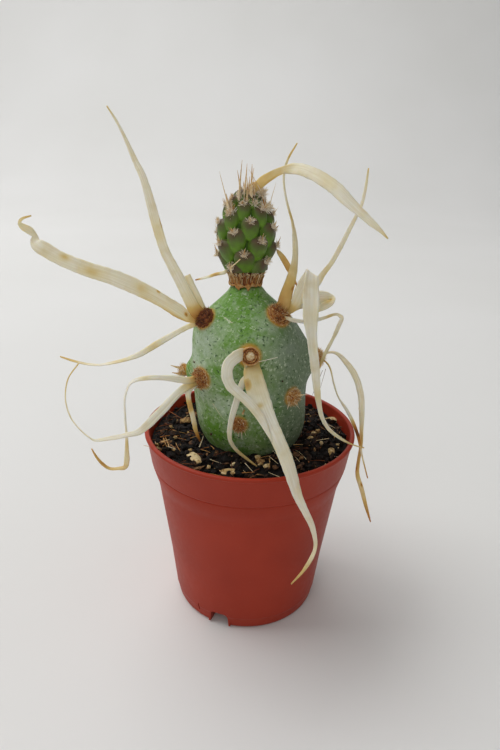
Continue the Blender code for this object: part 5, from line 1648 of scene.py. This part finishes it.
@dataclass
class Areole:
    """A woolly cushion on the old joint, with its short hairs and bristles."""

    name: str
    seat: Vector
    normal: Vector
    radius: float
    depth: float
    felt: Felt
    fibre: bpy.types.Material
    slot: Slot = Slot.PAPER

    def cushion(self) -> bpy.types.Object:
        """Return the cushion's body: a crumbly dome with a paler rim."""
        turn = self.normal.to_track_quat("Z", "Y").to_matrix()
        bm = bmesh.new()
        tone = bm.verts.layers.float.new("tone")
        bmesh.ops.create_icosphere(bm, subdivisions=5, radius=1.0)
        middle = 0.5 * (self.felt.low + self.felt.high)
        for vertex in bm.verts:
            grain = noise.noise(vertex.co * 2.6 + self.seat)
            fine = noise.noise(vertex.co * 7.0 + self.seat)
            size = Vector((self.radius, self.radius, self.depth))
            edge = clamped(1.0 - abs(vertex.co.z) * 3.0)
            swing = (0.7 * grain + 0.6 * fine) * (self.felt.high - self.felt.low)
            vertex[tone] = clamped(middle * 0.85 + swing)
            vertex[tone] += (self.felt.rim - vertex[tone]) * edge
            out = Vector(vertex.co)
            place = Vector(share * half for share, half in zip(out, size))
            place += out * (self.felt.crumble * (0.6 * grain + 0.5 * fine))
            vertex.co = self.seat + turn @ place
        to_metres(bm)
        return put(self.name + "_cushion", bm, self.fibre, 70.0)

    def on_dome(self, out: Vector, share: float) -> Vector:
        """Return the place at a share of the way out to the dome's surface."""
        return Vector((out.x * self.radius, out.y * self.radius, out.z * self.depth)) * share

    def hairs(self, draw: random.Random) -> bpy.types.Object:
        """Return the hairs and the bristles that stand out of the cushion."""
        turn = self.normal.to_track_quat("Z", "Y").to_matrix()
        strands = Strands(sides=3, rings=2)
        for _ in range(self.felt.hairs):
            azimuth, lift = draw.uniform(0.0, 360.0), draw.uniform(0.08, 1.0)
            out = polar(math.sqrt(1.0 - lift * lift), azimuth, lift)
            root = self.seat + turn @ self.on_dome(out, 0.93)
            sway = Vector([draw.uniform(-0.9, 0.9) for _ in range(3)])
            way = turn @ (out + sway + Vector((0.0, 0.0, 0.2)))
            tone = draw.uniform(self.felt.low, self.felt.high)
            if lift < 0.25:
                tone = self.felt.rim + draw.uniform(-0.1, 0.15)
            strands.lay(
                root, way, draw.uniform(0.4, 1.0) * self.felt.longest, draw.uniform(0.05, 0.1), tone,
                clamped(tone + 0.15), bend=Vector([draw.uniform(-0.35, 0.35) for _ in range(3)]),
            )
        for _ in range(self.felt.bristles):
            azimuth, lift = draw.uniform(0.0, 360.0), draw.uniform(0.4, 1.0)
            out = polar(math.sqrt(1.0 - lift * lift), azimuth, lift)
            root = self.seat + turn @ self.on_dome(out, 0.8)
            way = turn @ (out + Vector((0.0, 0.0, 0.4))) - UP * self.felt.droop
            strands.lay(
                root, way, draw.uniform(0.5, 1.0) * self.felt.reach, 0.09, draw.uniform(0.5, 0.7),
                draw.uniform(0.75, 0.95), taper=0.3, breadth=draw.uniform(1.0, 2.2),
                roll=draw.uniform(0.0, math.pi),
            )
        for root, tip, radius, tone, tip_tone in self.felt.spikes:
            way = Vector(tip) - Vector(root)
            strands.lay(
                Vector(root), way, way.length, radius, tone, tip_tone, taper=0.15,
                breadth=1.5, bend=UP * draw.uniform(-0.25, 0.25),
            )
        return strands.finish(self.name + "_hairs", self.fibre)

    def build(self) -> None:
        """Make the cushion and its hairs, and show them."""
        draw = random.Random(self.name)
        node = self.name + "_spines"
        present(self.cushion(), self.slot, node)
        present(self.hairs(draw), self.slot, node)


@dataclass
class FrontAreole:
    """The front areole, seen nearly face on: two corky rings round a pale woolly middle."""

    fibre: bpy.types.Material
    centre: Vector = field(default_factory=lambda: Vector((-0.4, -15.0, 75.7)))
    normal: Vector = field(default_factory=lambda: Vector((0.06, -0.92, 0.38)).normalized())
    # Rings of the lathe: radius, height and place on the fibre ramp, from the middle out.
    rows: tuple[tuple[float, float, float], ...] = (
        (0.0, 0.5, 0.84), (0.35, 0.55, 0.8), (0.7, 0.48, 0.76), (0.98, 0.3, 0.6), (1.12, 0.26, 0.24),
        (1.24, 0.42, 0.36), (1.36, 0.52, 0.52), (1.46, 0.44, 0.4), (1.58, 0.24, 0.14), (1.68, 0.34, 0.28),
        (1.82, 0.46, 0.46), (1.98, 0.34, 0.58), (2.12, 0.05, 0.66), (2.2, -0.6, 0.68), (1.9, -2.4, 0.6),
        (0.0, -2.6, 0.5),
    )
    seed: int = 21

    def build(self) -> None:
        """Turn the rings, roughen them and stand wool in the middle."""
        draw = random.Random(self.seed)
        turn = self.normal.to_track_quat("Z", "Y").to_matrix()
        bm = spun([(radius, height) for radius, height, _ in self.rows], 96)
        tone = bm.verts.layers.float.new("tone")
        for vertex in bm.verts:
            radius = math.hypot(vertex.co.x, vertex.co.y)
            nearest = min(self.rows, key=lambda row: math.hypot(row[0] - radius, row[1] - vertex.co.z))
            wobble = noise.noise(vertex.co * 1.3 + Vector((4.0, 1.0, 0.0)))
            fine = noise.noise(vertex.co * 4.0)
            vertex[tone] = clamped(nearest[2] + 0.2 * wobble + 0.16 * fine)
            vertex.co *= 1.0 + 0.08 * wobble
            vertex.co.z += 0.18 * fine
            vertex.co = self.centre + turn @ vertex.co
        to_metres(bm)
        present(put("front_rings", bm, self.fibre, 70.0), Slot.PAPER, "front_spines")
        strands = Strands(sides=3, rings=2)
        for _ in range(420):
            azimuth, radius = draw.uniform(0.0, 360.0), 2.15 * math.sqrt(draw.uniform(0.0, 1.0))
            depth = between([(row[0], row[1]) for row in self.rows[:-3]], radius)
            root = self.centre + turn @ polar(radius, azimuth, depth - 0.1)
            way = turn @ (polar(0.7, azimuth + draw.uniform(-120.0, 120.0)) + UP * draw.uniform(0.1, 0.5))
            shade = between([(row[0], row[2]) for row in self.rows[:-3]], radius) + draw.uniform(-0.12, 0.12)
            strands.lay(root, way, draw.uniform(0.25, 0.55), 0.055, shade, clamped(shade + 0.1))
        present(strands.finish("front_hairs", self.fibre), Slot.PAPER, "front_spines")


@dataclass
class Crown:
    """The tuft on the new joint's tip: upright needles out of white wool."""

    fibre: bpy.types.Material
    centre: tuple[float, float, float] = (-2.0, 0.0, 110.9)
    # Needles: root, tip, radius at the root and breadth, in mm.
    needles: tuple[tuple[Sequence[float], Sequence[float], float, float], ...] = (
        ((-6.5, -2.4, 107.8), (-8.4, -2.6, 114.5), 0.16, 1.6), ((-3.9, -2.6, 108.4), (-3.4, -2.5, 117.0), 0.3, 2.4),
        ((-3.0, -2.2, 108.6), (-2.3, -2.0, 116.3), 0.26, 1.8), ((-1.2, -2.8, 107.4), (-1.2, -3.0, 116.2), 0.26, 2.0),
        ((1.0, -1.5, 110.4), (-1.9, -2.5, 115.1), 0.14, 1.4), ((2.9, -1.0, 106.8), (4.3, -1.0, 112.4), 0.13, 1.4),
        ((-2.1, -3.2, 107.4), (-2.2, -3.4, 112.0), 0.2, 1.8), ((-0.4, -2.0, 109.4), (-0.9, -2.0, 113.4), 0.2, 1.6),
        ((-1.6, -2.6, 107.8), (-1.7, -2.4, 113.6), 0.22, 1.6), ((4.0, 0.0, 105.0), (5.1, 0.0, 106.9), 0.1, 1.4),
        ((-6.0, -3.2, 106.4), (-6.8, -3.0, 109.9), 0.42, 1.6), ((-5.6, -2.8, 107.2), (-5.9, -2.6, 109.4), 0.3, 1.6),
        ((-2.8, -1.4, 109.6), (-3.1, -1.2, 112.4), 0.2, 1.6), ((-1.4, 1.6, 109.8), (-0.8, 3.0, 115.0), 0.2, 1.6),
        ((-3.6, 1.4, 109.4), (-4.6, 2.8, 114.6), 0.2, 1.6), ((0.2, 0.8, 109.8), (1.6, 2.0, 114.0), 0.18, 1.5),
        ((-2.2, 2.6, 108.8), (-2.4, 4.6, 112.8), 0.2, 1.6),
    )
    # Tufts of wool: centre, reach and how many hairs.
    tufts: tuple[tuple[Sequence[float], float, int], ...] = (
        ((1.2, -1.4, 110.0), 1.2, 190), ((-2.3, -3.1, 107.8), 0.9, 130), ((-0.6, -3.2, 107.8), 1.0, 150),
        ((-5.5, -3.9, 105.9), 1.1, 170), ((-6.2, -2.6, 107.6), 0.9, 120), ((2.0, -2.8, 107.0), 1.3, 200),
        ((-3.8, -2.3, 109.3), 0.8, 110), ((-1.8, -1.0, 110.4), 1.3, 180), ((-3.0, 1.6, 109.4), 1.4, 160),
        ((0.6, 1.4, 109.2), 1.3, 150), ((-1.2, 2.8, 108.2), 1.2, 120), ((3.2, 0.2, 106.6), 0.9, 100),
    )
    seed: int = 5

    def build(self) -> None:
        """Stand the needles, then pack wool and short spines round their feet."""
        draw = random.Random(self.seed)
        needles, wool = Strands(sides=5, rings=5), Strands(rings=2)
        for root, tip, radius, breadth in self.needles:
            way = Vector(tip) - Vector(root)
            bend = Vector((draw.uniform(-0.4, 0.4), draw.uniform(-0.4, 0.4), 0.0))
            needles.lay(
                Vector(root), way - bend, way.length, radius, 0.9, 0.62, bend=bend, taper=0.1,
                breadth=breadth, roll=draw.uniform(-0.5, 0.5),
            )
        for place, reach, count in self.tufts:
            for _ in range(count):
                out = Vector([draw.gauss(0.0, 1.0) for _ in range(3)]).normalized()
                root = Vector(place) + out * (0.75 * reach * draw.random())
                way = out + UP * draw.uniform(0.0, 0.9)
                wool.lay(
                    root, way, draw.uniform(0.35, 0.9) * reach, draw.uniform(0.05, 0.1),
                    draw.uniform(0.8, 1.0),
                    bend=Vector([draw.uniform(-0.45, 0.45) for _ in range(3)]), taper=0.4,
                )
            for _ in range(3):
                way = UP + Vector((draw.uniform(-0.6, 0.6), draw.uniform(-0.6, 0.6), 0.0))
                needles.lay(
                    Vector(place), way, draw.uniform(1.0, 2.2) * reach, 0.14, draw.uniform(0.35, 0.6),
                    draw.uniform(0.5, 0.8), taper=0.2, breadth=draw.uniform(1.0, 2.6),
                    roll=draw.uniform(0.0, math.pi),
                )
        present(needles.finish("crown_needles", self.fibre), Slot.PAPER, "crown_spines")
        present(wool.finish("crown_wool", self.fibre), Slot.PAPER, "crown_spines")


@dataclass
class PottingMix:
    """The soil's visible top: a rough bed, crumbs, bark, grit and loose root fibres."""

    stem: OldJoint
    peat: bpy.types.Material
    fibre: bpy.types.Material
    level: float = 47.8
    edge: float = 25.6
    stem_clear: float = 12.2
    seed: int = 7
    # Bits that the photo shows: x, y, half length, half width, half height, azimuth, tone.
    bits: tuple[tuple[float, ...], ...] = (
        (-13.6, -14.0, 2.6, 1.5, 0.6, 300.0, 0.98), (-12.6, -16.2, 1.5, 1.2, 0.5, 250.0, 0.9),
        (-17.6, 5.4, 1.7, 1.3, 1.1, 20.0, 0.74), (-21.4, -6.4, 1.9, 1.0, 0.5, 15.0, 0.72),
        (-3.1, -16.3, 1.5, 0.6, 0.45, 30.0, 1.0), (-4.6, -20.1, 2.0, 1.1, 0.4, 10.0, 0.86),
        (2.0, -13.4, 1.1, 0.9, 0.8, 60.0, 0.88), (2.9, -15.2, 1.2, 1.0, 0.8, 0.0, 0.8),
        (4.4, -17.0, 0.9, 0.8, 0.7, 40.0, 0.94), (-9.5, -18.1, 0.5, 0.5, 0.45, 0.0, 0.93),
        (23.1, 9.9, 1.9, 1.1, 0.6, 350.0, 0.92), (17.2, 0.5, 1.1, 0.8, 0.7, 80.0, 0.82),
        (16.0, -2.4, 0.9, 0.7, 0.6, 20.0, 0.85), (18.4, 2.2, 0.8, 0.7, 0.6, 130.0, 0.78),
        (20.7, -9.0, 1.6, 1.0, 0.6, 70.0, 0.88), (18.5, -5.4, 0.5, 0.5, 0.5, 0.0, 0.92),
        (-19.4, -4.1, 0.7, 0.5, 0.45, 30.0, 0.9), (-14.8, -9.4, 0.7, 0.6, 0.5, 60.0, 0.78),
        (-21.2, 1.5, 0.7, 0.5, 0.45, 110.0, 0.88),
    )

    def height(self, spot: Vector) -> float:
        """Return the bed's height at a place, lumpier than a plain disc."""
        flat = Vector((spot.x, spot.y, 0.0))
        lumps = noise.noise(flat * 0.16)
        crumbs = noise.noise(flat * 0.45 + Vector((9.0, 4.0, 2.0)))
        grains = noise.noise(flat * 1.3)
        return self.level + 0.1 + 0.55 * (1.2 * lumps + crumbs) + 0.3 * grains

    def free_spot(self, draw: random.Random) -> Vector:
        """Return a random place on the bed, between the stem and the pot's wall."""
        low, high = self.stem_clear ** 2, (self.edge - 0.5) ** 2
        centre = self.stem.axis(self.level)
        spot = polar(math.sqrt(draw.uniform(low, high)), draw.uniform(0.0, 360.0))
        away = Vector((spot.x - centre.x, spot.y - centre.y)).length
        if away < self.stem_clear + 0.4:
            spot *= (self.stem_clear + 1.2) / max(spot.length, 0.1)
        return spot

    def build(self) -> None:
        """Make the bed, scatter what lies on it and show the pieces."""
        draw = random.Random(self.seed)
        edge = self.edge
        rings = 56
        profile = [(edge * index / rings, self.level) for index in range(rings + 1)]
        profile += [(edge - 0.15, self.level - 0.8), (edge - 0.4, self.level - 1.6), (0.0, self.level - 1.6)]
        bm = spun(profile, 150)
        tone = bm.verts.layers.float.new("tone")
        for vertex in bm.verts:
            if vertex.co.z > self.level - 0.5:
                vertex.co.z = self.height(vertex.co)
            vertex[tone] = 0.12 + 0.2 * noise.noise(vertex.co * 0.7)
        to_metres(bm)
        present(put("soil_bed", bm, self.peat, 60.0), Slot.SOIL)

        bm = bmesh.new()
        bm.verts.layers.float.new("tone")
        for _ in range(1700):
            spot = self.free_spot(draw)
            size = 0.22 + 0.85 * draw.random() ** 2.6
            spot.z = self.height(spot) + size * draw.uniform(-0.1, 0.8)
            shape = [size * draw.uniform(0.6, 1.4) for _ in range(3)]
            shade = 0.06 + 0.42 * draw.random() ** 2.0
            if draw.random() < 0.07:
                shade = draw.uniform(0.55, 0.9)
                shape = [0.6 * side for side in shape]
            lump(bm, spot, shape, any_turn(draw), draw, shade, rough=0.32)
        to_metres(bm)
        present(put("peat_crumbs", bm, self.peat, 30.0), Slot.SOIL)

        bm = bmesh.new()
        bm.verts.layers.float.new("tone")
        for _ in range(110):
            spot = self.free_spot(draw)
            spot.z = self.height(spot) + draw.uniform(0.2, 0.8)
            shape = (draw.uniform(0.7, 2.2), draw.uniform(0.4, 0.9), draw.uniform(0.2, 0.45))
            lump(bm, spot, shape, any_turn(draw), draw, draw.uniform(0.2, 0.72), rough=0.28)
        for x, y, long, wide, high, azimuth, shade in self.bits:
            spot = Vector((x, y, 0.0))
            spot.z = self.height(spot) + 0.35 + 0.5 * high
            turn = Matrix.Rotation(math.radians(azimuth), 4, "Z")
            turn = turn @ Matrix.Rotation(draw.uniform(-0.35, 0.35), 4, "X")
            lump(bm, spot, (long, wide, high), turn, draw, shade, rough=0.16, finer=2)
        to_metres(bm)
        present(put("bark_and_grit", bm, self.peat, 30.0), Slot.SOIL)
        self.roots(draw)

    def roots(self, draw: random.Random) -> None:
        """Lay loose root and coir fibres over the soil, and the twig at the left rim."""
        strands = Strands(sides=4, rings=6)
        for _ in range(170):
            spot = self.free_spot(draw)
            spot.z = self.height(spot) + draw.uniform(0.35, 0.9)
            azimuth = draw.uniform(0.0, 360.0)
            length = draw.uniform(1.8, 6.0)
            end = spot + polar(length, azimuth)
            if Vector((end.x, end.y)).length > self.edge - 0.4:
                length = 1.6
            bend = polar(draw.uniform(-1.6, 1.6), azimuth + 90.0) - UP * draw.uniform(0.2, 0.9)
            shade = draw.choice((0.18, 0.25, 0.3, 0.45, 0.6, 0.8))
            strands.lay(
                spot, polar(1.0, azimuth, 0.15), length, draw.uniform(0.07, 0.15), shade, bend=bend,
                taper=0.5,
            )
        twigs = (
            ((-22.4, -10.6, 48.9), (-1.0, -0.25, 0.32), 4.2, 0.16, 0.7),
            ((5.0, -12.9, 48.8), (0.5, -1.0, 0.1), 5.2, 0.14, 0.8),
            ((-1.1, -16.2, 48.9), (0.5, -1.0, 0.0), 5.0, 0.13, 0.82),
            ((-23.0, 11.0, 48.9), (0.75, -1.0, 0.1), 7.0, 0.16, 0.35),
        )
        for root, way, length, radius, shade in twigs:
            strands.lay(Vector(root), Vector(way), length, radius, shade, bend=Vector((0.0, 0.5, -0.3)))
        present(strands.finish("root_fibres", self.fibre), Slot.SOIL)


@dataclass
class SkinDetails:
    """Loose hairs and dark specks that lie on the old joint."""

    fibre: bpy.types.Material
    # Hairs: root, tip, radius and tone, in mm.
    hairs: tuple[tuple[Sequence[float], Sequence[float], float, float], ...] = (
        ((1.6, -15.3, 74.6), (5.9, -14.4, 75.2), 0.09, 0.96), ((-4.6, -12.2, 82.6), (-7.0, -10.6, 83.4), 0.05, 0.93),
        ((-12.3, -9.4, 70.0), (-13.8, -11.2, 73.0), 0.05, 0.93), ((27.2, -5.0, 59.0), (28.6, -5.0, 56.4), 0.06, 0.9),
        ((17.6, 2.0, 65.5), (16.2, 0.5, 60.0), 0.09, 0.2), ((18.4, 2.4, 66.0), (15.6, 0.0, 58.5), 0.07, 0.12),
        ((19.0, 1.0, 67.0), (17.6, -1.0, 61.5), 0.06, 0.3), ((-9.0, -12.4, 62.5), (-6.6, -13.6, 59.0), 0.05, 0.85),
    )
    # Specks: place, radius and tone, in mm.
    specks: tuple[tuple[Sequence[float], float, float], ...] = (
        ((-13.0, -7.9, 70.4), 0.3, 0.02), ((-13.9, -6.8, 70.8), 0.22, 0.02), ((-1.7, -13.9, 60.9), 0.3, 0.66),
        ((-9.6, -9.6, 52.8), 0.28, 0.02), ((-1.5, -13.8, 61.5), 0.2, 0.6), ((7.4, -12.0, 68.6), 0.2, 0.04),
    )

    def build(self) -> None:
        """Lay the hairs and the specks and show them."""
        strands = Strands(sides=4, rings=5)
        for root, tip, radius, tone in self.hairs:
            way = Vector(tip) - Vector(root)
            strands.lay(
                Vector(root), way, way.length, radius, tone, bend=Vector((0.0, 0.0, 0.3)), taper=0.5
            )
        for place, radius, tone in self.specks:
            strands.lay(Vector(place) - UP * radius, UP, 2 * radius, radius, tone, taper=0.7)
        present(strands.finish("loose_hairs", self.fibre), Slot.PAPER)


@dataclass
class Studio:
    """The pale sweep, the soft lights and the camera at the photo's angle."""

    paint: Finish
    eye: tuple[float, float, float] = (0.0, -0.14264, 0.12293)
    pitch: float = 22.08
    yaw: float = -0.14
    roll: float = 1.63
    lens: float = 28.87
    front: float = -1.4
    bend_start: float = 0.75
    bend_radius: float = 0.55
    wall_top: float = 2.4
    half_width: float = 2.2

    def sweep(self) -> None:
        """Bend a grid into a floor that runs up into a wall."""
        bm = bmesh.new()
        rows = 64
        bmesh.ops.create_grid(bm, x_segments=2, y_segments=rows, size=1.0)
        quarter = self.bend_radius * math.pi / 2
        run = self.bend_start - self.front
        total = run + quarter + self.wall_top
        for vertex in bm.verts:
            place = (vertex.co.y + 1.0) / 2.0 * total
            vertex.co.x *= self.half_width
            if place <= run:
                vertex.co.y, vertex.co.z = self.front + place, 0.0
            elif place <= run + quarter:
                angle = (place - run) / self.bend_radius
                vertex.co.y = self.bend_start + self.bend_radius * math.sin(angle)
                vertex.co.z = self.bend_radius * (1.0 - math.cos(angle))
            else:
                vertex.co.y = self.bend_start + self.bend_radius
                vertex.co.z = self.bend_radius + place - run - quarter
        put("sweep", bm, self.paint.make(), 180.0)

    def light(self, name: str, place: Sequence[float], aim: Sequence[float], size: float,
              power: float, colour: str) -> None:
        """Hang one square soft box, in metres and watts."""
        data = bpy.data.lights.new(name, "AREA")
        data.shape = "SQUARE"
        data.size = size
        data.energy = power
        data.color = linear(colour)[:3]
        lamp = bpy.data.objects.new(name, data)
        lamp.location = place
        lamp.rotation_euler = (Vector(aim) - Vector(place)).to_track_quat("-Z", "Y").to_euler()
        bpy.context.scene.collection.objects.link(lamp)

    def camera(self) -> None:
        """Set up the camera at the photo's place, angle and lens."""
        pitch, yaw, roll = (math.radians(value) for value in (self.pitch, self.yaw, self.roll))
        forward = Vector((
            math.sin(yaw) * math.cos(pitch), math.cos(yaw) * math.cos(pitch), -math.sin(pitch)
        ))
        level = Vector((math.cos(yaw), -math.sin(yaw), 0.0))
        above = level.cross(forward)
        right = level * math.cos(roll) + above * math.sin(roll)
        top = above * math.cos(roll) - level * math.sin(roll)
        turn = Matrix((right, top, -forward)).transposed().to_4x4()
        data = bpy.data.cameras.new("camera")
        data.sensor_width = 36.0
        data.lens = self.lens
        data.clip_start = 0.005
        data.clip_end = 20.0
        camera = bpy.data.objects.new("camera", data)
        camera.matrix_world = Matrix.Translation(Vector(self.eye)) @ turn
        bpy.context.scene.collection.objects.link(camera)
        bpy.context.scene.camera = camera

    def build(self) -> None:
        """Make the sweep, the lights, the surrounding light and the camera."""
        self.sweep()
        self.light("window", (-0.75, 0.15, 1.05), (0.0, 0.05, 0.05), 0.8, 7.0, "#FFFFFF")
        self.light("back_fill", (-0.4, 0.9, 1.4), (0.0, 0.6, 0.0), 1.0, 8.0, "#FDFEFF")
        self.light("front_fill", (-0.2, -0.9, 0.8), (0.0, 0.0, 0.06), 0.8, 2.0, "#FFFDF8")
        world = bpy.data.worlds.new("studio")
        world.use_nodes = True
        background = world.node_tree.nodes["Background"]
        background.inputs["Color"].default_value = linear("#F4F5F6")
        background.inputs["Strength"].default_value = 0.34
        bpy.context.scene.world = world
        bpy.context.scene.view_settings.view_transform = "Standard"
        self.camera()


@dataclass
class Cactus:
    """The whole plant: its joints, its collar and every areole with its blades."""

    young_areoles: dict[str, tuple[float, float, float]] = field(
        default_factory=lambda: {"new_right": (352.0, 97.4, 1.6), "new_left": (150.0, 94.2, 1.2)}
    )

    def build(self) -> None:
        """Build the plant from the soil up."""
        fibre = DryFibre("dry_fibre", roughness=0.85, specular=0.25, subsurface=0.15, depth=0.3, sheen=0.1).make()
        paper = DryPaper("dry_paper", roughness=0.6, specular=0.3, subsurface=0.6, depth=0.7).make()
        peat = DampPeat("damp_peat", roughness=0.75, specular=0.25).make()
        skin = WaxySkin("waxy_skin", roughness=0.6, specular=0.3, subsurface=0.08, depth=1.0)
        old = OldJoint(skin)
        PottingMix(old, peat, fibre).build()
        for slot in bpy.data.objects["soil"].material_slots:
            slot.material = peat
        old.build()
        NeckCollar(old, fibre).build()
        young = NewJoint(YoungSkin("young_skin", roughness=0.5, specular=0.3, subsurface=0.06, depth=0.8), fibre)
        young.build()
        Crown(fibre).build()
        for name, (_, _, _, _, radius, depth) in AREOLES.items():
            seat, normal = old.seat(name)
            if name == "front":
                FrontAreole(fibre).build()
            else:
                Areole(name, seat, normal, radius, depth, FELTS[name], fibre).build()
            if name in BLADES:
                Blades(name, seat - normal, paper).build()
        Blades("crown", Vector(Crown(fibre).centre), paper).build()
        for name, (azimuth, height, reach) in self.young_areoles.items():
            seat = Vector((*young.axis, 0.0)) + polar(between(young.core, height) + reach, azimuth, height)
            Blades(name, seat, paper, Slot.AMBER).build()
        SkinDetails(fibre).build()


def main() -> None:
    """Load the frame, and build the pot, the plant and the studio."""
    logging.basicConfig(level=logging.INFO, format="%(name)s: %(message)s")
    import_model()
    Studio(StudioPaint("studio_paint", roughness=0.9)).build()
    NurseryPot(MouldedPolypropylene("moulded_polypropylene", roughness=0.45, ior=1.49, specular=0.2)).build()
    Cactus().build()


if __name__ == "__main__":
    main()
